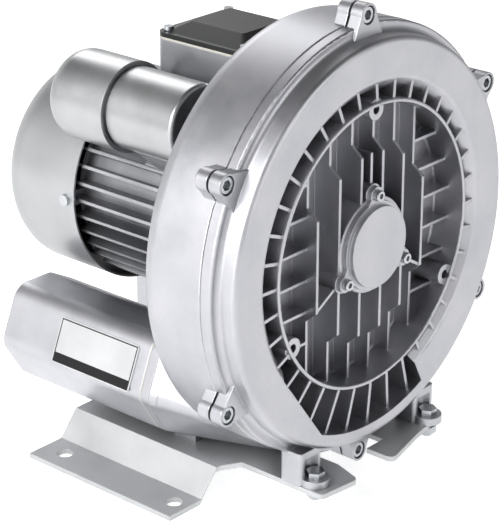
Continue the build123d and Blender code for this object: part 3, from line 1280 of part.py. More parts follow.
# ---------------------------------------------------------------- silencers
def silencer_housing(side):
    """Cast silencer with a threaded port in its rear end wall."""
    body = prism(rounded(neck_section(side)), SILENCER_SEAM + SILENCER_GASKET_T, SILENCER_BACK)
    body -= prism(rounded(neck_section(side), SILENCER_WALL), SILENCER_SEAM - 1, SILENCER_BACK - SILENCER_END_T)
    x, z = port_place(side)
    body -= disc(PORT_R, SILENCER_BACK - SILENCER_END_T - 1, SILENCER_BACK + 1, x, z)
    body -= disc(TUBE_R + FIT_GAP, SILENCER_BACK - SILENCER_END_T - 1, TUBE_BACK, x, z)
    for x, z in silencer_bolt_places(side):
        body -= disc(SILENCER_BOLT_D / 2 + 0.3, SILENCER_BACK - SILENCER_END_T - 1, SILENCER_BACK, x, z)
        body -= disc(SILENCER_BOLT_D * 0.85 + 0.3, SILENCER_BACK - SILENCER_BOLT_D, SILENCER_BACK + 1, x, z)
    return body


def silencer_bolts():
    """Long socket head bolts through both silencers into the port necks."""
    bolts = []
    seat = SILENCER_BACK - SILENCER_BOLT_D
    for side in (-1, 1):
        for x, z in silencer_bolt_places(side):
            head = disc(SILENCER_BOLT_D * 0.85, seat, seat + SILENCER_BOLT_D - 0.5, x, z)
            socket = RegularPolygon(SILENCER_BOLT_D * 0.42, 6)
            head -= prism(Pos(x, z) * socket, seat + SILENCER_BOLT_D / 2, seat + SILENCER_BOLT_D)
            bolts.append(head + disc(SILENCER_BOLT_D / 2, SILENCER_SEAM - NECK_BOSS + 5, seat, x, z))
    return Compound(bolts)


def port_place(side):
    """Centre of a port, measured from the shaft."""
    return side * PORT_X, PORT_Z - SHAFT_HEIGHT


def silencer_gasket(side):
    ring = rounded(neck_section(side)) - rounded(neck_section(side), SILENCER_WALL)
    for x, z in silencer_bolt_places(side):
        ring += Pos(x, z) * Circle(SILENCER_BOLT_D + 2) & rounded(neck_section(side))
        ring -= Pos(x, z) * Circle(SILENCER_BOLT_D / 2 + 0.3)
    return prism(ring, SILENCER_SEAM, SILENCER_SEAM + SILENCER_GASKET_T)


def perforated_tube(side):
    """Perforated tube from the seam to the port, through the foam."""
    x, z = port_place(side)
    front = SILENCER_SEAM + 4
    return disc(TUBE_R, front, TUBE_BACK, x, z) - disc(TUBE_R - TUBE_T, front - 1, TUBE_BACK + 1, x, z)


def silencer_foam(side):
    """Sound-absorbing foam sleeve between the tube and the housing."""
    x, z = port_place(side)
    outer = prism(
        rounded(neck_section(side), SILENCER_WALL + SEAT_GAP),
        SILENCER_SEAM + 6, SILENCER_BACK - SILENCER_END_T - SEAT_GAP,
    )
    outer -= disc(TUBE_R + FIT_GAP, SILENCER_SEAM, SILENCER_BACK, x, z)
    for x, z in silencer_bolt_places(side):
        outer -= disc(SILENCER_BOLT_D / 2 + 0.5, SILENCER_SEAM, SILENCER_BACK, x, z)
    return outer


# ---------------------------------------------------------------- foot
def foot_plate():
    """Bent sheet foot: two floor flanges, sloping webs and a raised top with two tongues."""
    outer = [
        (-FOOT_HALF_WIDTH, 0),
        (-FOOT_BEND_X, 0),
        (-FOOT_TOP_X, FOOT_TOP_Z - FOOT_SHEET),
        (FOOT_TOP_X, FOOT_TOP_Z - FOOT_SHEET),
        (FOOT_BEND_X, 0),
        (FOOT_HALF_WIDTH, 0),
    ]
    lift = FOOT_SHEET
    slant = FOOT_SHEET * 0.45
    inner = [
        (FOOT_HALF_WIDTH, lift),
        (FOOT_BEND_X - slant, lift),
        (FOOT_TOP_X - slant, FOOT_TOP_Z),
        (-FOOT_TOP_X + slant, FOOT_TOP_Z),
        (-FOOT_BEND_X + slant, lift),
        (-FOOT_HALF_WIDTH, lift),
    ]
    plane = Plane(origin=(0, PARTING_Y + FOOT_FRONT, 0), x_dir=(1, 0, 0), z_dir=(0, -1, 0))
    section = make_face(Polyline(*outer, *inner, close=True))
    plate = extrude(plane * section, amount=FOOT_FRONT - FOOT_BACK)
    apron = Polygon(
        (-FOOT_TOP_X + FOOT_EDGE, FOOT_FRONT + 1),
        (-TONGUE_OUT_X, 2 * TONGUE_ROOT),
        (-TONGUE_OUT_X, TONGUE_FRONT + 4),
        (-TONGUE_IN_X - 8, TONGUE_FRONT),
        (-TONGUE_IN_X, LUG_CLEAR_FRONT),
        (-TONGUE_IN_X, TONGUE_ROOT),
        (LUG_CLEAR, TONGUE_ROOT),
        (LUG_CLEAR, LUG_CLEAR_FRONT),
        (0, LUG_CLEAR_FRONT),
        (0, TONGUE_FRONT),
        (TONGUE_OUT_X - TONGUE_IN_X, TONGUE_FRONT + 11),
        (TONGUE_OUT_X, TONGUE_FRONT + 16),
        (TONGUE_OUT_X + 4, FOOT_FRONT),
        (FOOT_TOP_X - FOOT_EDGE, FOOT_FRONT + 1),
        align=None,
    )
    flat = Plane(origin=(0, PARTING_Y, FOOT_TOP_Z), x_dir=(1, 0, 0), z_dir=(0, 0, 1))
    apron = extrude(flat * apron, amount=-FOOT_SHEET)
    toes = apron.edges().filter_by(Axis.Z).sort_by(Axis.Y)[:4]
    plate += fillet(toes, 5)
    holes = []
    for x in (-FOOT_PITCH_X / 2, FOOT_PITCH_X / 2):
        for y in (-FOOT_PITCH_Y / 2, FOOT_PITCH_Y / 2):
            holes.append(Pos(x, y, 0) * Cylinder(FOOT_HOLE_D / 2, 4 * FOOT_SHEET))
    for side in (-1, 1):
        for y in (PARTING_Y + LEG_BOLT, PARTING_Y + NECK_BOLT):
            holes.append(Pos(side * LEG_X, y, FOOT_TOP_Z) * Cylinder(LEG_BOLT_D / 2 + 0.5, 4 * FOOT_SHEET))
    return plate.cut(*holes)


def foot_bolts_at(places, seat):
    """Hexagon bolts put in from above, with a nut under the foot plate."""
    bolts = []
    for x, y in places:
        head = extrude(RegularPolygon(LEG_BOLT_D * 0.9, 6), amount=LEG_BOLT_D * 0.6)
        shank = Cylinder(
            LEG_BOLT_D / 2, seat - FOOT_TOP_Z + FOOT_SHEET + 8,
            align=(Align.CENTER, Align.CENTER, Align.MAX),
        )
        bolts.append(Pos(x, PARTING_Y + y, seat) * (head + shank))
    return Compound(bolts)


def foot_nuts_at(places):
    nuts = []
    for x, y in places:
        ring = RegularPolygon(LEG_BOLT_D * 0.9, 6) - Circle(LEG_BOLT_D / 2 + FIT_GAP)
        nut = extrude(ring, amount=-LEG_BOLT_D * 0.7)
        nuts.append(Pos(x, PARTING_Y + y, FOOT_TOP_Z - FOOT_SHEET) * nut)
    return Compound(nuts)


def leg_places():
    return [(side * LEG_X, LEG_BOLT) for side in (-1, 1)]


def foot_screws():
    """Hexagon screws from below the foot plate into the feet of the port necks."""
    screws = []
    for side in (-1, 1):
        head = extrude(RegularPolygon(LEG_BOLT_D * 0.9, 6), amount=-LEG_BOLT_D * 0.6)
        shank = Cylinder(
            LEG_BOLT_D / 2, FOOT_SHEET + NECK_THREAD - 1, align=(Align.CENTER, Align.CENTER, Align.MIN),
        )
        place = Pos(side * LEG_X, PARTING_Y + NECK_BOLT, FOOT_TOP_Z - FOOT_SHEET)
        screws.append(place * (head + shank))
    return Compound(screws)


def rating_plate():
    """Bare plate on the outer wall of the left silencer."""
    low = Vector(-SILENCER_OUT_X, 0, SILENCER_CREASE_Z)
    high = Vector(-SILENCER_TOP_OUT_X, 0, SILENCER_TOP_Z)
    up = (high - low).normalized()
    outward = Vector(-up.Z, 0, up.X)
    middle = low + up * PLATE_RISE + Vector(0, PARTING_Y + PLATE_AXIAL, 0)
    plane = Plane(origin=tuple(middle), x_dir=(0, -1, 0), z_dir=tuple(outward))
    plate = extrude(plane * RectangleRounded(PLATE_LENGTH, PLATE_HEIGHT, 2), amount=PLATE_T)
    return plate


# ---------------------------------------------------------------- files
save(front_cover(), "front_cover")
save(bearing_cap(), "bearing_cap")
save(bearing_cap_screws(), "bearing_cap_screws")
save(bearing_outer(FRONT_BEARING_OD, FRONT_BEARING_ID, BEARING_FRONT, BEARING_BACK), "front_bearing_outer")
save(bearing_inner(FRONT_BEARING_OD, FRONT_BEARING_ID, BEARING_FRONT, BEARING_BACK), "front_bearing_inner")
save(preload_spring(), "preload_spring")
save(shaft_seal(BEARING_BACK, SPACER_OD), "front_shaft_seal")
save(shaft_seal(MOTOR_SPIGOT + 5 - SEAL_WIDTH, SHAFT_BODY_D), "rear_shaft_seal")
save(blower_casing(), "blower_casing")
save(casing_screws(), "casing_screws")
save(impeller(), "impeller")
save(impeller_key(), "impeller_key")
save(spacer_sleeve(), "spacer_sleeve")
save(shaft(), "shaft")
save(shaft_circlip(), "shaft_circlip")
save(motor_housing(), "motor_housing")
save(motor_screws(), "motor_screws")
save(stator_core(), "stator_core")
save(windings(), "windings")
save(rotor_core(), "rotor_core")
save(rear_end_shield(), "rear_end_shield")
save(bearing_outer(REAR_BEARING_OD, REAR_BEARING_ID, REAR_BEARING_FRONT, REAR_BEARING_BACK), "rear_bearing_outer")
save(bearing_inner(REAR_BEARING_OD, REAR_BEARING_ID, REAR_BEARING_FRONT, REAR_BEARING_BACK), "rear_bearing_inner")
save(tie_bolts(), "tie_bolts")
save(cooling_fan(), "cooling_fan")
save(fan_clip(), "fan_clip")
save(fan_cowl(), "fan_cowl")
save(cowl_screws(), "cowl_screws")
save(terminal_box_base(), "terminal_box_base")
save(terminal_box_gasket(), "terminal_box_gasket")
save(terminal_box_lid(), "terminal_box_lid")
save(terminal_lid_screws(), "terminal_lid_screws")
save(terminal_block(), "terminal_block")
save(cable_gland(), "cable_gland")
save(blanking_plug(), "blanking_plug")
save(gland_nut(), "gland_nuts")
save(capacitor_front_shell(), "capacitor_front_shell")
save(capacitor_rear_shell(), "capacitor_rear_shell")
save(run_capacitor(), "run_capacitor")
save(capacitor_bracket(), "capacitor_bracket")
for side, name in ((-1, "left"), (1, "right")):
    save(silencer_housing(side), f"silencer_housing_{name}")
    save(silencer_gasket(side), f"silencer_gasket_{name}")
    save(perforated_tube(side), f"perforated_tube_{name}")
    save(silencer_foam(side), f"silencer_foam_{name}")
save(foot_plate(), "foot_plate")
save(foot_bolts_at(leg_places(), FOOT_TOP_Z + LEG_TOE_T), "foot_bolts")
save(foot_nuts_at(leg_places()), "foot_nuts")
save(foot_screws(), "foot_screws")
save(silencer_bolts(), "silencer_bolts")
save(capacitor_screws(), "capacitor_screws")
save(rating_plate(), "rating_plate")
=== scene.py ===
"""Looks of a side channel blower: finishes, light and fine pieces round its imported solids, in metres.

Every piece that is made here rides on the body "machine" and stands for one of its nodes. All other
nodes of both bodies keep their solids and only get their finishes.
"""

import json
from math import cos, pi, radians, sin

import bpy
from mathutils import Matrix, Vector


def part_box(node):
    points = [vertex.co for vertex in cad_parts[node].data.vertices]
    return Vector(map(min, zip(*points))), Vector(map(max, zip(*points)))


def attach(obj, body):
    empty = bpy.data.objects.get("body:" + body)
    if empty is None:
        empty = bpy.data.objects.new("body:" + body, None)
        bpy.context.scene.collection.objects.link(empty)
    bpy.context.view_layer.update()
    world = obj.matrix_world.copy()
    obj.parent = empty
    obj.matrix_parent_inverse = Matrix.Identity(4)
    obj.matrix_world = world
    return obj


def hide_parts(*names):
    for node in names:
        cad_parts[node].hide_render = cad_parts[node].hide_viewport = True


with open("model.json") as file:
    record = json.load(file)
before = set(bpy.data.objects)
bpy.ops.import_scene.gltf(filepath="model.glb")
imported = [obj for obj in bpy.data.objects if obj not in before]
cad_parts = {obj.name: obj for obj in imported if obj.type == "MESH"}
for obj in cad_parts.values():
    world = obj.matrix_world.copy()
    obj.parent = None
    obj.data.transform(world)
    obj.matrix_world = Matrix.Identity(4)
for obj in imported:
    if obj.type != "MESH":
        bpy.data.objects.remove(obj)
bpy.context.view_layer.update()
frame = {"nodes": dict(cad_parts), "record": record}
NODES = frame["nodes"]
MM = 0.001

# ---------------------------------------------------------------- camera
CAMERA_PLACE = Vector((-1.11323, -0.99880, 0.76565))
CAMERA_AIM = Vector((-0.04458, -0.05700, 0.16979))
CAMERA_LENS_MM = 145.17
CAMERA_SENSOR_MM = 36.0
CAMERA_NEAR = 0.05
CAMERA_FAR = 50.0

# ---------------------------------------------------------------- light
# levels are shares of plain white: overall, on the dark side of the room and overhead
WORLD_LEVEL = 0.70
DARK_SIDE_LEVEL = 0.40
CEILING_LEVEL = 0.16
BRIGHT_SIDE = Vector((-0.88, 0.47, 0.0))
# where the room turns from dark to bright, as the cosine to its bright side
DARK_SIDE_END = -0.75
BRIGHT_SIDE_START = 0.35
# where the walls turn to ceiling, as the sine of the angle above the floor
WALL_TOP = 0.2
CEILING_START = 0.8
KEY_PLACE = Vector((-2.0, 0.1, 1.25))
KEY_SIZE = 1.3
KEY_WATTS = 46.0
FILL_PLACE = Vector((0.6, -2.0, 0.9))
FILL_SIZE = 1.4
FILL_WATTS = 9.0
RIM_PLACE = Vector((0.9, 1.4, 1.5))
RIM_SIZE = 1.0
RIM_WATTS = 8.0
FLOOR_HALF = 6.0
FLOOR_GLOW = 0.66
FLOOR_ROUGHNESS = 0.9
FLOOR_MOTTLE_SCALE = 40.0

# ---------------------------------------------------------------- finishes
CLOUD_MM = 45  # size of the slow changes of tone in a finish
GRAIN_SHARE = 0.35  # how much of a tone comes from its fine grain
BUMP_STRENGTH = 0.6
# the two settings below are for the painted shade that darkens the colour of hollows
PAINTED_SHADE_REACH = 28 * MM  # how far round a point walls count when it is darkened as a hollow
PAINTED_SHADE_SAMPLES = 8
EDGE_SAMPLES = 6
DIELECTRIC_IOR = 1.5
METAL_LIMIT = 0.5  # finishes that are less metallic than this get the IOR above

# ---------------------------------------------------------------- places on the blower
SHAFT_Z = 190 * MM
PARTING_Y = -107 * MM
PLATE_INSET = 1.2 * MM
PLATE_LINE = 1.0 * MM
PLATE_BAND = 7.5 * MM

# ---------------------------------------------------------------- socket screws
# in millimetres: head radius, head height, rounded edge, hexagon radius, shank radius, shank length
LUG_SCREWS = (6.5, 7.0, 0.7, 3.9, 4.0, 13.0)
CAP_SCREWS = (4.25, 4.0, 0.5, 2.2, 2.5, 13.5)
SILENCER_SCREWS = (5.1, 5.5, 0.6, 2.5, 3.0, 153.0)
LUG_CIRCLE = 170 * MM
LUG_COUNT = 6
LUG_FIRST_DEG = 30.0
LUG_SEAT_Y = PARTING_Y - 13 * MM
CAP_CIRCLE = 39 * MM
CAP_COUNT = 3
CAP_FIRST_DEG = 90.0
CAP_SEAT_Y = PARTING_Y - 32 * MM
SILENCER_SEAT_Y = PARTING_Y + 241 * MM
SILENCER_SCREW_PLACES_MM = ((46, 46), (104, 69), (66, 101))  # x on one side, z
FORWARD = (0.0, -1.0, 0.0)
BACKWARD = (0.0, 1.0, 0.0)
HEAD_SIDES = 24
HEXAGON_SIDES = 6
SHANK_SIDES = 16
HEXAGON_DEPTH_SHARE = 0.5  # of the head's height

# ---------------------------------------------------------------- perforated tubes
TUBE_SHEET = 1.0 * MM
TUBE_HOLE_R = 2.6 * MM
TUBE_HOLE_SIDES = 8
TUBE_ROWS = 15
TUBE_AROUND = 18

WELD = 0.02 * MM  # points closer than this become one


def linear(hex_colour):
    """Turns an sRGB hex value to the linear colour that a shader takes."""
    channels = [int(hex_colour[i:i + 2], 16) / 255 for i in (1, 3, 5)]
    return [c / 12.92 if c <= 0.04045 else ((c + 0.055) / 1.055) ** 2.4 for c in channels] + [1.0]


def add(tree, kind, settings=None, links=None):
    """Adds a node, sets its properties and input values, and links its inputs.

    An input that takes many links, as that of Join Geometry does, gets a tuple of sources.
    """
    node = tree.nodes.new(kind)
    for name, value in (settings or {}).items():
        if isinstance(name, str) and hasattr(node, name):
            setattr(node, name, value)
        else:
            node.inputs[name].default_value = value
    for name, sources in (links or {}).items():
        for source in sources if isinstance(sources, tuple) else (sources,):
            tree.links.new(source, node.inputs[name])
    return node


def place_object(name, data):
    """Puts an object with this data in the scene, at the origin."""
    placed = bpy.data.objects.new(name, data)
    bpy.context.scene.collection.objects.link(placed)
    return placed


# ---------------------------------------------------------------- camera, light and floor
def aim(placed, place, target):
    """Moves a camera or a light to its place and turns it to its target."""
    placed.location = place
    placed.rotation_mode = "QUATERNION"
    placed.rotation_quaternion = (target - place).to_track_quat("-Z", "Y")


def make_camera():
    """Long lens, above the blower and to the left of its front cover."""
    data = bpy.data.cameras.new("camera")
    data.lens = CAMERA_LENS_MM
    data.sensor_width = CAMERA_SENSOR_MM
    data.clip_start = CAMERA_NEAR
    data.clip_end = CAMERA_FAR
    camera = place_object("camera", data)
    aim(camera, CAMERA_PLACE, CAMERA_AIM)
    bpy.context.scene.camera = camera


def make_light(name, place, size, watts):
    """Round softbox that faces the middle of the blower."""
    data = bpy.data.lights.new(name, "AREA")
    data.shape = "DISK"
    data.size = size
    data.energy = watts
    aim(place_object(name, data), place, Vector((0, 0, SHAFT_Z)))


def make_world():
    """White studio room, bright on one side and dim overhead. The eye itself sees plain white."""
    world = bpy.data.worlds.new("studio")
    bpy.context.scene.world = world
    world.use_nodes = True
    tree = world.node_tree
    tree.nodes.clear()
    path = add(tree, "ShaderNodeLightPath")
    coords = add(tree, "ShaderNodeTexCoord")
    across = add(
        tree, "ShaderNodeVectorMath", {"operation": "DOT_PRODUCT", 1: BRIGHT_SIDE},
        {0: coords.outputs["Generated"]})
    walls = add(
        tree, "ShaderNodeMapRange",
        {"From Min": DARK_SIDE_END, "From Max": BRIGHT_SIDE_START, "To Min": DARK_SIDE_LEVEL,
         "To Max": 1.0},
        {"Value": across.outputs["Value"]})
    height = add(tree, "ShaderNodeSeparateXYZ", {}, {0: coords.outputs["Generated"]})
    ceiling = add(
        tree, "ShaderNodeMapRange",
        {"From Min": WALL_TOP, "From Max": CEILING_START, "To Min": 1.0, "To Max": CEILING_LEVEL},
        {"Value": height.outputs["Z"]})
    room = add(
        tree, "ShaderNodeMath", {"operation": "MULTIPLY"},
        {0: walls.outputs[0], 1: ceiling.outputs[0]})
    soft = add(
        tree, "ShaderNodeMath", {"operation": "MULTIPLY", 1: WORLD_LEVEL}, {0: room.outputs[0]})
    # reflections show the room at its full level, so metal has something bright to mirror
    mirrored = add(
        tree, "ShaderNodeMix", {"data_type": "FLOAT"},
        {0: path.outputs["Is Glossy Ray"], 2: soft.outputs[0], 3: room.outputs[0]})
    plain = add(
        tree, "ShaderNodeMath", {"operation": "MAXIMUM"},
        {0: path.outputs["Is Camera Ray"], 1: path.outputs["Is Transmission Ray"]})
    level = add(
        tree, "ShaderNodeMix", {"data_type": "FLOAT", 3: 1.0},
        {0: plain.outputs[0], 2: mirrored.outputs[0]})
    light = add(
        tree, "ShaderNodeBackground", {"Color": (1, 1, 1, 1)}, {"Strength": level.outputs[0]})
    add(tree, "ShaderNodeOutputWorld", {}, {"Surface": light.outputs[0]})


def make_floor():
    """Pale seamless floor: white to the eye and in reflections, with the soft shadow kept."""
    mesh = bpy.data.meshes.new("floor")
    half = FLOOR_HALF
    corners = [(-half, -half, 0), (half, -half, 0), (half, half, 0), (-half, half, 0)]
    mesh.from_pydata(corners, [], [(0, 1, 2, 3)])
    floor = place_object("floor", mesh)
    # Heavy matt paper on a roll: a faint mottle, no gloss.
    material = bpy.data.materials.new("matt_white_paper")
    material.use_nodes = True
    tree = material.node_tree
    shader = tree.nodes["Principled BSDF"]
    shader.inputs["Roughness"].default_value = FLOOR_ROUGHNESS
    shader.inputs["Emission Color"].default_value = (1, 1, 1, 1)
    coords = add(tree, "ShaderNodeTexCoord")
    mottle = add(
        tree, "ShaderNodeTexNoise", {"Scale": FLOOR_MOTTLE_SCALE, "Detail": 3.0},
        {"Vector": coords.outputs["Object"]})
    tone = add(
        tree, "ShaderNodeMix", {"data_type": "RGBA", 6: linear("#FBFBFB"), 7: linear("#FEFEFE")},
        {0: mottle.outputs["Fac"]})
    tree.links.new(tone.outputs[2], shader.inputs["Base Color"])
    path = add(tree, "ShaderNodeLightPath")
    seen = path.outputs["Is Camera Ray"]
    for ray in ("Is Glossy Ray", "Is Transmission Ray"):
        seen = add(
            tree, "ShaderNodeMath", {"operation": "MAXIMUM"}, {0: seen, 1: path.outputs[ray]}
        ).outputs[0]
    glow = add(tree, "ShaderNodeMath", {"operation": "MULTIPLY", 1: FLOOR_GLOW}, {0: seen})
    tree.links.new(glow.outputs[0], shader.inputs["Emission Strength"])
    mesh.materials.append(material)


# ---------------------------------------------------------------- finishes
def surface(name, base, dark, rough, grain_mm, bump_mm, metallic=1.0, edge_mm=0.0, painted_shade=0.0):
    """A finish with a mottled tone, a fine grain in its bump and roughness, and painted shade that
    darkens its hollows.

    base, dark -- the light and the dark end of its tone
    rough -- lowest and highest roughness
    grain_mm, bump_mm -- width and height of its grain
    edge_mm -- how far an edge looks rounded
    painted_shade -- how much painted shade darkens a deep hollow
    """
    material = bpy.data.materials.new(name)
    material.use_nodes = True
    tree = material.node_tree
    shader = tree.nodes["Principled BSDF"]
    shader.inputs["Metallic"].default_value = metallic
    if metallic < METAL_LIMIT:
        shader.inputs["IOR"].default_value = DIELECTRIC_IOR
    coords = add(tree, "ShaderNodeTexCoord")
    cloud = add(
        tree, "ShaderNodeTexNoise", {"Scale": 1 / (CLOUD_MM * MM), "Detail": 4.0, "Roughness": 0.6},
        {"Vector": coords.outputs["Object"]})
    grain = add(
        tree, "ShaderNodeTexNoise", {"Scale": 1 / (grain_mm * MM), "Detail": 3.0, "Roughness": 0.7},
        {"Vector": coords.outputs["Object"]})
    blend = add(
        tree, "ShaderNodeMix", {"data_type": "FLOAT", 0: GRAIN_SHARE},
        {2: cloud.outputs["Fac"], 3: grain.outputs["Fac"]})
    spread = add(
        tree, "ShaderNodeMapRange", {"From Min": 0.35, "From Max": 0.65}, {"Value": blend.outputs[0]})
    tone = add(
        tree, "ShaderNodeMix", {"data_type": "RGBA", 6: linear(dark), 7: linear(base)},
        {0: spread.outputs[0]})
    colour = tone.outputs[2]
    # painted shade: the colour is darkened where ambient occlusion finds close walls, standing in for
    # the shade that falls in hollows
    if painted_shade:
        hollow = add(
            tree, "ShaderNodeAmbientOcclusion", {"samples": PAINTED_SHADE_SAMPLES, "Distance": PAINTED_SHADE_REACH})
        depth = add(
            tree, "ShaderNodeMapRange",
            {"From Min": 0.15, "From Max": 0.75, "To Min": 1 - painted_shade, "To Max": 1.0},
            {"Value": hollow.outputs["AO"]})
        shade = add(
            tree, "ShaderNodeVectorMath", {"operation": "SCALE"},
            {0: colour, "Scale": depth.outputs[0]})
        colour = shade.outputs[0]
    tree.links.new(colour, shader.inputs["Base Color"])
    matt = add(
        tree, "ShaderNodeMapRange",
        {"From Min": 0.3, "From Max": 0.7, "To Min": rough[0], "To Max": rough[1]},
        {"Value": blend.outputs[0]})
    tree.links.new(matt.outputs[0], shader.inputs["Roughness"])
    bump = add(
        tree, "ShaderNodeBump", {"Strength": BUMP_STRENGTH, "Distance": bump_mm * MM},
        {"Height": grain.outputs["Fac"]})
    if edge_mm:
        edge = add(tree, "ShaderNodeBevel", {"samples": EDGE_SAMPLES, "Radius": edge_mm * MM})
        tree.links.new(edge.outputs[0], bump.inputs["Normal"])
    tree.links.new(bump.outputs[0], shader.inputs["Normal"])
    return material


def band(tree, value, low, high):
    """1 where a value lies between two limits, else 0."""
    above = add(tree, "ShaderNodeMath", {"operation": "GREATER_THAN", 1: low}, {0: value})
    below = add(tree, "ShaderNodeMath", {"operation": "LESS_THAN", 1: high}, {0: value})
    return add(
        tree, "ShaderNodeMath", {"operation": "MULTIPLY"}, {0: above.outputs[0], 1: below.outputs[0]}
    ).outputs[0]


def rating_plate_finish():
    """Bare anodised plate: a thin black frame near its edge and a printed black band at the foot.

    The plate leans, so its height is measured along its own slope.
    """
    material = surface(
        "printed_anodised_aluminium", "#DCDDDE", "#CFD0D2", (0.32, 0.42), 0.5, 0.02, metallic=0.6)
    tree = material.node_tree
    shader = tree.nodes["Principled BSDF"]
    low, high = (Vector(c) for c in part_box("rating_plate"))
    slope = Vector((high.x - low.x, 0, high.z - low.z))
    width_in = (high.y - low.y) / 2 - PLATE_INSET
    height_in = slope.length / 2 - PLATE_INSET
    coords = add(tree, "ShaderNodeTexCoord")
    local = add(
        tree, "ShaderNodeVectorMath", {"operation": "SUBTRACT", 1: (low + high) / 2},
        {0: coords.outputs["Object"]})
    level = add(
        tree, "ShaderNodeVectorMath", {"operation": "DOT_PRODUCT", 1: slope.normalized()},
        {0: local.outputs[0]})
    parts = add(tree, "ShaderNodeSeparateXYZ", {}, {0: local.outputs[0]})
    side = add(tree, "ShaderNodeMath", {"operation": "ABSOLUTE"}, {0: parts.outputs["Y"]}).outputs[0]
    tall = add(
        tree, "ShaderNodeMath", {"operation": "ABSOLUTE"}, {0: level.outputs["Value"]}).outputs[0]
    foot = band(tree, level.outputs["Value"], -height_in, -height_in + PLATE_BAND)
    inside_height = band(tree, tall, -1.0, height_in)
    inside_width = band(tree, side, -1.0, width_in)
    marks = (
        (band(tree, side, width_in - PLATE_LINE, width_in), inside_height),
        (band(tree, tall, height_in - PLATE_LINE, height_in), inside_width),
        (foot, inside_width),
    )
    ink = None
    for mark, limit in marks:
        mark = add(tree, "ShaderNodeMath", {"operation": "MULTIPLY"}, {0: mark, 1: limit}).outputs[0]
        if ink is not None:
            mark = add(tree, "ShaderNodeMath", {"operation": "MAXIMUM"}, {0: ink, 1: mark}).outputs[0]
        ink = mark
    metal = shader.inputs["Base Color"].links[0].from_socket
    printed = add(
        tree, "ShaderNodeMix", {"data_type": "RGBA", 7: linear("#232325")}, {0: ink, 6: metal})
    tree.links.new(printed.outputs[2], shader.inputs["Base Color"])
    return material


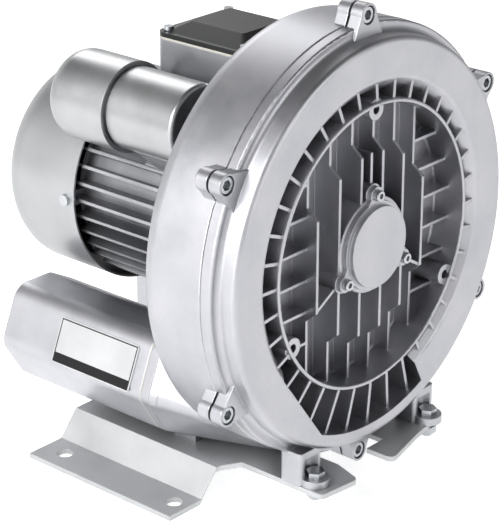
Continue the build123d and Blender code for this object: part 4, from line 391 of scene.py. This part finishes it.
def make_finishes():
    """One finish for each of the record's material slots."""
    # a hollow darkening given to a finish here is painted shade, not dirt
    return {
        # Die-cast aluminium, shot-blasted: an even satin grain, with edges shaded as slightly rounded.
        "cast_aluminium": surface(
            "die_cast_aluminium_shot_blasted", "#C3C3C7", "#B0B1B6", (0.36, 0.50), 0.9, 0.06,
            edge_mm=1.0, painted_shade=0.2),
        # The same alloy on the silencers, with a lighter, smoother blast.
        "silencer_aluminium": surface(
            "die_cast_aluminium_fine_blasted", "#C9C9CD", "#B8B9BE", (0.38, 0.50), 0.8, 0.05,
            edge_mm=1.2, painted_shade=0.4),
        # Die-cast motor frame: the fins are as cast, duller than the blasted castings.
        "motor_aluminium": surface(
            "die_cast_aluminium_as_cast", "#B6B6BA", "#9EA0A4", (0.40, 0.55), 1.1, 0.08,
            edge_mm=0.6, painted_shade=0.45),
        # Aluminium casting with machined running faces: brighter and smoother than a blasted one.
        "impeller_aluminium": surface(
            "machined_cast_aluminium", "#C8C9C9", "#B4B6B6", (0.28, 0.42), 0.7, 0.04,
            edge_mm=0.4, painted_shade=0.4),
        # Deep-drawn steel sheet with silver stove enamel: even and slightly pearly.
        "cowl_sheet": surface(
            "silver_stove_enamel", "#B9BABC", "#AEB0B2", (0.34, 0.42), 0.5, 0.02,
            metallic=0.85, painted_shade=0.3),
        # Folded steel sheet with silver powder coat: orange-peel surface, duller than enamel.
        "foot_sheet": surface(
            "silver_powder_coat", "#CDCECF", "#C0C2C3", (0.42, 0.55), 1.6, 0.08,
            metallic=0.75, edge_mm=0.8, painted_shade=0.3),
        # Spun aluminium sheet with a clear lacquer: smooth, with long soft highlights.
        "shell_sheet": surface(
            "lacquered_spun_aluminium", "#BDBEBF", "#ABADAE", (0.30, 0.42), 0.6, 0.03,
            edge_mm=0.5, painted_shade=0.3),
        # Glass-filled polyamide from a spark-eroded mould: black, finely grained, half gloss.
        "lid_plastic": surface(
            "grained_black_polyamide", "#1B1E1D", "#121413", (0.28, 0.42), 0.9, 0.08,
            metallic=0.0, edge_mm=0.6),
        # Injection-moulded fan: black with a dull, waxy face.
        "fan_plastic": surface(
            "black_polypropylene", "#232424", "#191A1A", (0.40, 0.55), 1.2, 0.05, metallic=0.0),
        # Pressed phenolic resin of the terminal block: dark brown, slightly mottled.
        "block_plastic": surface(
            "brown_phenolic", "#4A3328", "#37261E", (0.40, 0.50), 0.8, 0.04, metallic=0.0),
        # Moulded cable gland and plug: mid grey, with softened edges.
        "gland_plastic": surface(
            "grey_polyamide", "#55585A", "#47494B", (0.38, 0.50), 0.9, 0.05,
            metallic=0.0, edge_mm=0.4),
        # Die-cut silicone sheet: pale and matt.
        "gasket_rubber": surface(
            "pale_silicone_rubber", "#D2D0C6", "#C3C1B6", (0.60, 0.75), 0.8, 0.05, metallic=0.0),
        # Moulded lip seals: black, dull.
        "seal_rubber": surface(
            "black_nitrile_rubber", "#202021", "#171718", (0.50, 0.65), 0.6, 0.04, metallic=0.0),
        # Open-cell foam: dark and fully matt, with deep pores.
        "foam": surface(
            "charcoal_polyurethane_foam", "#3B3B3D", "#1E1E20", (0.85, 0.95), 1.4, 0.6,
            metallic=0.0),
        # Cold-formed screws, zinc plated: bright, slightly blue, with crisp highlights.
        "screw_steel": surface(
            "bright_zinc_plate", "#C6C9CC", "#B2B5B9", (0.22, 0.36), 0.6, 0.02,
            edge_mm=0.3, painted_shade=0.3),
        # Ground shaft: smooth and bright, with a very fine grain.
        "shaft_steel": surface(
            "ground_steel", "#B5B7BA", "#A3A5A8", (0.20, 0.32), 0.4, 0.015, edge_mm=0.3),
        # Lapped bearing rings: close to a mirror.
        "bearing_steel": surface(
            "polished_bearing_steel", "#CBCDCF", "#BFC1C3", (0.10, 0.18), 0.4, 0.01),
        # Stacked laminations: dark grey, with the edges of the sheets as a coarse grain.
        "lamination_steel": surface(
            "stacked_electrical_sheet", "#77797C", "#5C5E61", (0.40, 0.55), 0.8, 0.1),
        # Wound magnet wire: reddish brown under a clear enamel, grained by its turns.
        "winding_copper": surface(
            "enamelled_copper_wire", "#A4592F", "#7C3D1D", (0.30, 0.42), 0.9, 0.2, metallic=0.6),
        # Rolled galvanised sheet: cool grey, with the cloudy spangle of the zinc.
        "tube_steel": surface(
            "galvanised_sheet", "#B4B7BA", "#9A9DA1", (0.30, 0.48), 3.0, 0.03),
        # Anodised aluminium sheet, printed: pale and satin, with flat black ink.
        "plate_sheet": rating_plate_finish(),
    }


def dress_nodes(finishes):
    """Gives every CAD node the finish of its own slot."""
    for part in frame["record"]["subparts"]:
        node = NODES[part["node"]]
        node.data.materials.clear()
        node.data.materials.append(finishes[part["material_slot"]])


# ---------------------------------------------------------------- trees and the pieces they make
def geometry_tree(name, inputs):
    """New geometry tree with named inputs and one output. Gives the tree and its two end nodes."""
    tree = bpy.data.node_groups.new(name, "GeometryNodeTree")
    kinds = {float: "NodeSocketFloat", int: "NodeSocketInt", tuple: "NodeSocketVector"}
    tree.interface.new_socket("Geometry", in_out="INPUT", socket_type="NodeSocketGeometry")
    for label, value in inputs.items():
        kind = kinds.get(type(value), "NodeSocketMaterial")
        tree.interface.new_socket(label, in_out="INPUT", socket_type=kind)
    tree.interface.new_socket("Geometry", in_out="OUTPUT", socket_type="NodeSocketGeometry")
    return tree, add(tree, "NodeGroupInput"), add(tree, "NodeGroupOutput")


def close_tree(tree, given, out, geometry):
    """Ends a tree: its copies become real, points that coincide become one, the finish is set."""
    real = add(tree, "GeometryNodeRealizeInstances", {}, {"Geometry": geometry})
    welded = add(
        tree, "GeometryNodeMergeByDistance", {"Distance": WELD}, {"Geometry": real.outputs[0]})
    dressed = add(
        tree, "GeometryNodeSetMaterial", {},
        {"Geometry": welded.outputs[0], "Material": given.outputs["Finish"]})
    tree.links.new(dressed.outputs[0], out.inputs["Geometry"])


def run_tree(name, tree, inputs, points):
    """Piece that a tree makes from its base points: evaluated once and kept as a plain mesh."""
    base = bpy.data.meshes.new(name)
    base.from_pydata(points, [], [])
    piece = place_object(name, base)
    modifier = piece.modifiers.new("build", "NODES")
    modifier.node_group = tree
    for socket in tree.interface.items_tree:
        if socket.in_out == "INPUT" and socket.name in inputs:
            modifier[socket.identifier] = inputs[socket.name]
    evaluated = piece.evaluated_get(bpy.context.evaluated_depsgraph_get())
    made = bpy.data.meshes.new_from_object(evaluated)
    piece.modifiers.clear()
    piece.data = made
    return piece


def add_piece(name, node, tree, inputs, points):
    """Tree-made piece that stands for one node of the machine's body."""
    piece = run_tree(name, tree, inputs, points)
    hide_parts(node)
    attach(piece, "machine")


def lifted(tree, geometry, height):
    """This geometry, raised along Z."""
    place = add(tree, "ShaderNodeCombineXYZ", {}, {"Z": height})
    return add(
        tree, "GeometryNodeTransform", {}, {"Geometry": geometry, "Translation": place.outputs[0]}
    ).outputs[0]


def socket_screw_tree():
    """Socket head screws on given points, which are the seats of their heads.

    Each has a head with a rounded edge, a hexagon socket and a shank, and its head faces outward.
    """
    tree, given, out = geometry_tree("socket_screws", {
        "Head Radius": 1.0, "Head Height": 1.0, "Edge": 1.0, "Socket Radius": 1.0,
        "Shank Radius": 1.0, "Shank Length": 1.0, "Outward": FORWARD, "Finish": None})
    value = given.outputs
    head_r, head_h, edge_h = value["Head Radius"], value["Head Height"], value["Edge"]
    hexagon_r = value["Socket Radius"]

    wall_h = add(
        tree, "ShaderNodeMath", {"operation": "SUBTRACT"}, {0: head_h, 1: edge_h}).outputs[0]
    top_r = add(
        tree, "ShaderNodeMath", {"operation": "SUBTRACT"}, {0: head_r, 1: edge_h}).outputs[0]
    depth = add(
        tree, "ShaderNodeMath", {"operation": "MULTIPLY", 1: HEXAGON_DEPTH_SHARE}, {0: head_h}
    ).outputs[0]
    pit_z = add(
        tree, "ShaderNodeMath", {"operation": "SUBTRACT"}, {0: head_h, 1: depth}).outputs[0]
    half_down = add(
        tree, "ShaderNodeMath", {"operation": "MULTIPLY", 1: -0.5}, {0: value["Shank Length"]}
    ).outputs[0]

    # head: a straight wall, its edge, the ring round the socket and the face that it seats on
    wall = add(
        tree, "GeometryNodeMeshCone", {"fill_type": "NONE", "Vertices": HEAD_SIDES},
        {"Radius Bottom": head_r, "Radius Top": head_r, "Depth": wall_h}).outputs[0]
    edge = add(
        tree, "GeometryNodeMeshCone", {"fill_type": "NONE", "Vertices": HEAD_SIDES},
        {"Radius Bottom": head_r, "Radius Top": top_r, "Depth": edge_h}).outputs[0]
    rim = add(
        tree, "GeometryNodeCurvePrimitiveCircle", {"Resolution": HEAD_SIDES}, {"Radius": top_r})
    hexagon = add(
        tree, "GeometryNodeCurvePrimitiveCircle", {"Resolution": HEXAGON_SIDES},
        {"Radius": hexagon_r})
    outlines = add(
        tree, "GeometryNodeJoinGeometry", {}, {0: (rim.outputs[0], hexagon.outputs[0])})
    face = add(tree, "GeometryNodeFillCurve", {}, {"Curve": outlines.outputs[0]}).outputs[0]
    seat = add(
        tree, "GeometryNodeMeshCircle", {"fill_type": "NGON", "Vertices": HEAD_SIDES},
        {"Radius": head_r})
    seat = add(tree, "GeometryNodeFlipFaces", {}, {"Mesh": seat.outputs[0]}).outputs[0]

    # socket: six walls that face inward, and a floor
    socket = add(
        tree, "GeometryNodeMeshCone", {"fill_type": "NONE", "Vertices": HEXAGON_SIDES},
        {"Radius Bottom": hexagon_r, "Radius Top": hexagon_r, "Depth": depth})
    socket = add(tree, "GeometryNodeFlipFaces", {}, {"Mesh": socket.outputs[0]}).outputs[0]
    pit = add(
        tree, "GeometryNodeMeshCircle", {"fill_type": "NGON", "Vertices": HEXAGON_SIDES},
        {"Radius": hexagon_r}).outputs[0]
    shank = add(
        tree, "GeometryNodeMeshCylinder", {"fill_type": "NGON", "Vertices": SHANK_SIDES},
        {"Radius": value["Shank Radius"], "Depth": value["Shank Length"]}).outputs[0]

    screw = add(tree, "GeometryNodeJoinGeometry", {}, {0: (
        wall, lifted(tree, edge, wall_h), lifted(tree, face, head_h), lifted(tree, socket, pit_z),
        lifted(tree, pit, pit_z), seat, lifted(tree, shank, half_down))})
    turn = add(
        tree, "FunctionNodeAlignRotationToVector", {"axis": "Z"}, {"Vector": value["Outward"]})
    spread = add(tree, "GeometryNodeInstanceOnPoints", {}, {
        "Points": value["Geometry"], "Instance": screw.outputs[0], "Rotation": turn.outputs[0]})
    close_tree(tree, given, out, spread.outputs[0])
    return tree


def perforated_tube_tree():
    """Sheet tube along Y with rows of round holes, from each given point, where its axis starts.

    A flat sheet is laid from one pierced tile. It is then rolled up at its outer radius and given its
    thickness inward.
    """
    tree, given, out = geometry_tree("perforated_tube", {
        "Radius": 1.0, "Length": 1.0, "Sheet": 1.0, "Hole Radius": 1.0, "Rows": 1, "Around": 1,
        "Finish": None})
    value = given.outputs
    radius = value["Radius"]

    pitch = add(
        tree, "ShaderNodeMath", {"operation": "DIVIDE"}, {0: value["Length"], 1: value["Rows"]}
    ).outputs[0]
    half_pitch = add(
        tree, "ShaderNodeMath", {"operation": "MULTIPLY", 1: 0.5}, {0: pitch}).outputs[0]
    girth = add(
        tree, "ShaderNodeMath", {"operation": "MULTIPLY", 1: 2 * pi}, {0: radius}).outputs[0]
    width = add(
        tree, "ShaderNodeMath", {"operation": "DIVIDE"}, {0: girth, 1: value["Around"]}).outputs[0]

    # tile, row of tiles, flat sheet
    tile = add(
        tree, "GeometryNodeCurvePrimitiveQuadrilateral", {"mode": "RECTANGLE"},
        {"Width": width, "Height": pitch})
    hole = add(
        tree, "GeometryNodeCurvePrimitiveCircle", {"Resolution": TUBE_HOLE_SIDES},
        {"Radius": value["Hole Radius"]})
    outlines = add(tree, "GeometryNodeJoinGeometry", {}, {0: (tile.outputs[0], hole.outputs[0])})
    pierced = add(tree, "GeometryNodeFillCurve", {}, {"Curve": outlines.outputs[0]})
    step = add(tree, "ShaderNodeCombineXYZ", {}, {"Y": pitch})
    line = add(
        tree, "GeometryNodeMeshLine", {}, {"Count": value["Rows"], "Offset": step.outputs[0]})
    row = add(
        tree, "GeometryNodeInstanceOnPoints", {},
        {"Points": line.outputs[0], "Instance": pierced.outputs[0]})
    row = add(tree, "GeometryNodeRealizeInstances", {}, {"Geometry": row.outputs[0]})
    index = add(tree, "GeometryNodeInputIndex")
    shift = add(
        tree, "ShaderNodeMath", {"operation": "MULTIPLY"}, {0: index.outputs[0], 1: width})
    across = add(tree, "ShaderNodeCombineXYZ", {}, {"X": shift.outputs[0]})
    starts = add(tree, "GeometryNodeMeshLine", {}, {"Count": value["Around"]})
    starts = add(
        tree, "GeometryNodeSetPosition", {},
        {"Geometry": starts.outputs[0], "Position": across.outputs[0]})
    sheet = add(
        tree, "GeometryNodeInstanceOnPoints", {},
        {"Points": starts.outputs[0], "Instance": row.outputs[0]})
    sheet = add(tree, "GeometryNodeRealizeInstances", {}, {"Geometry": sheet.outputs[0]})

    # rolled up: X becomes the way round, Y stays the way along
    place = add(tree, "GeometryNodeInputPosition")
    parts = add(tree, "ShaderNodeSeparateXYZ", {}, {0: place.outputs[0]})
    angle = add(
        tree, "ShaderNodeMath", {"operation": "DIVIDE"}, {0: parts.outputs["X"], 1: radius})
    turned = {}
    for axis, operation in (("X", "COSINE"), ("Z", "SINE")):
        share = add(tree, "ShaderNodeMath", {"operation": operation}, {0: angle.outputs[0]})
        turned[axis] = add(
            tree, "ShaderNodeMath", {"operation": "MULTIPLY"}, {0: share.outputs[0], 1: radius}
        ).outputs[0]
    turned["Y"] = add(
        tree, "ShaderNodeMath", {"operation": "ADD"}, {0: parts.outputs["Y"], 1: half_pitch}
    ).outputs[0]
    rolled = add(tree, "ShaderNodeCombineXYZ", {}, turned)
    tube = add(
        tree, "GeometryNodeSetPosition", {},
        {"Geometry": sheet.outputs[0], "Position": rolled.outputs[0]})
    tube = add(
        tree, "GeometryNodeMergeByDistance", {"Distance": WELD}, {"Geometry": tube.outputs[0]})

    # the rolled sheet faces the axis: its extrusion is the inner face with the walls of the holes,
    # and the sheet itself, turned over, is the outer face
    outer = add(tree, "GeometryNodeFlipFaces", {}, {"Mesh": tube.outputs[0]})
    inner = add(
        tree, "GeometryNodeExtrudeMesh", {"mode": "FACES", "Individual": False},
        {"Mesh": tube.outputs[0], "Offset Scale": value["Sheet"]})
    whole = add(
        tree, "GeometryNodeJoinGeometry", {}, {0: (inner.outputs["Mesh"], outer.outputs[0])})
    placed = add(
        tree, "GeometryNodeInstanceOnPoints", {},
        {"Points": value["Geometry"], "Instance": whole.outputs[0]})
    close_tree(tree, given, out, placed.outputs[0])
    return tree


def ring_points(radius, count, first_deg, y):
    """Points on a circle about the shaft, from a first angle as seen from the front."""
    angles = [radians(first_deg + 360 / count * n) for n in range(count)]
    return [(radius * cos(a), y, SHAFT_Z + radius * sin(a)) for a in angles]


def make_screws(finish):
    """The socket head screws of the lugs, of the bearing cap and of both silencers."""
    tree = socket_screw_tree()
    silencer_points = [
        (side * x * MM, SILENCER_SEAT_Y, z * MM)
        for side in (-1, 1) for x, z in SILENCER_SCREW_PLACES_MM]
    groups = (
        ("lug_screws", "casing_screws", LUG_SCREWS,
         ring_points(LUG_CIRCLE, LUG_COUNT, LUG_FIRST_DEG, LUG_SEAT_Y), FORWARD),
        ("cap_screws", "bearing_cap_screws", CAP_SCREWS,
         ring_points(CAP_CIRCLE, CAP_COUNT, CAP_FIRST_DEG, CAP_SEAT_Y), FORWARD),
        ("long_silencer_screws", "silencer_bolts", SILENCER_SCREWS, silencer_points, BACKWARD),
    )
    for name, node, size, points, outward in groups:
        head_r, head_h, edge, hexagon, shank_r, shank = (mm * MM for mm in size)
        add_piece(name, node, tree, {
            "Head Radius": head_r, "Head Height": head_h, "Edge": edge, "Socket Radius": hexagon,
            "Shank Radius": shank_r, "Shank Length": shank, "Outward": outward,
            "Finish": finish}, points)


def make_tubes(finish):
    """The perforated tubes inside both silencers, each as long as its solid and a sheet narrower."""
    tree = perforated_tube_tree()
    for name in ("left", "right"):
        low, high = (Vector(c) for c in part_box("perforated_tube_" + name))
        start = ((low.x + high.x) / 2, low.y, (low.z + high.z) / 2)
        add_piece("pierced_tube_" + name, "perforated_tube_" + name, tree, {
            "Radius": (high.x - low.x) / 2 - TUBE_SHEET, "Length": high.y - low.y,
            "Sheet": TUBE_SHEET, "Hole Radius": TUBE_HOLE_R, "Rows": TUBE_ROWS,
            "Around": TUBE_AROUND, "Finish": finish}, [start])


bpy.context.scene.view_settings.view_transform = "Standard"
make_camera()
make_world()
make_floor()
make_light("key_softbox", KEY_PLACE, KEY_SIZE, KEY_WATTS)
make_light("fill_softbox", FILL_PLACE, FILL_SIZE, FILL_WATTS)
make_light("rim_softbox", RIM_PLACE, RIM_SIZE, RIM_WATTS)
finishes = make_finishes()
dress_nodes(finishes)
make_screws(finishes["screw_steel"])
make_tubes(finishes["tube_steel"])
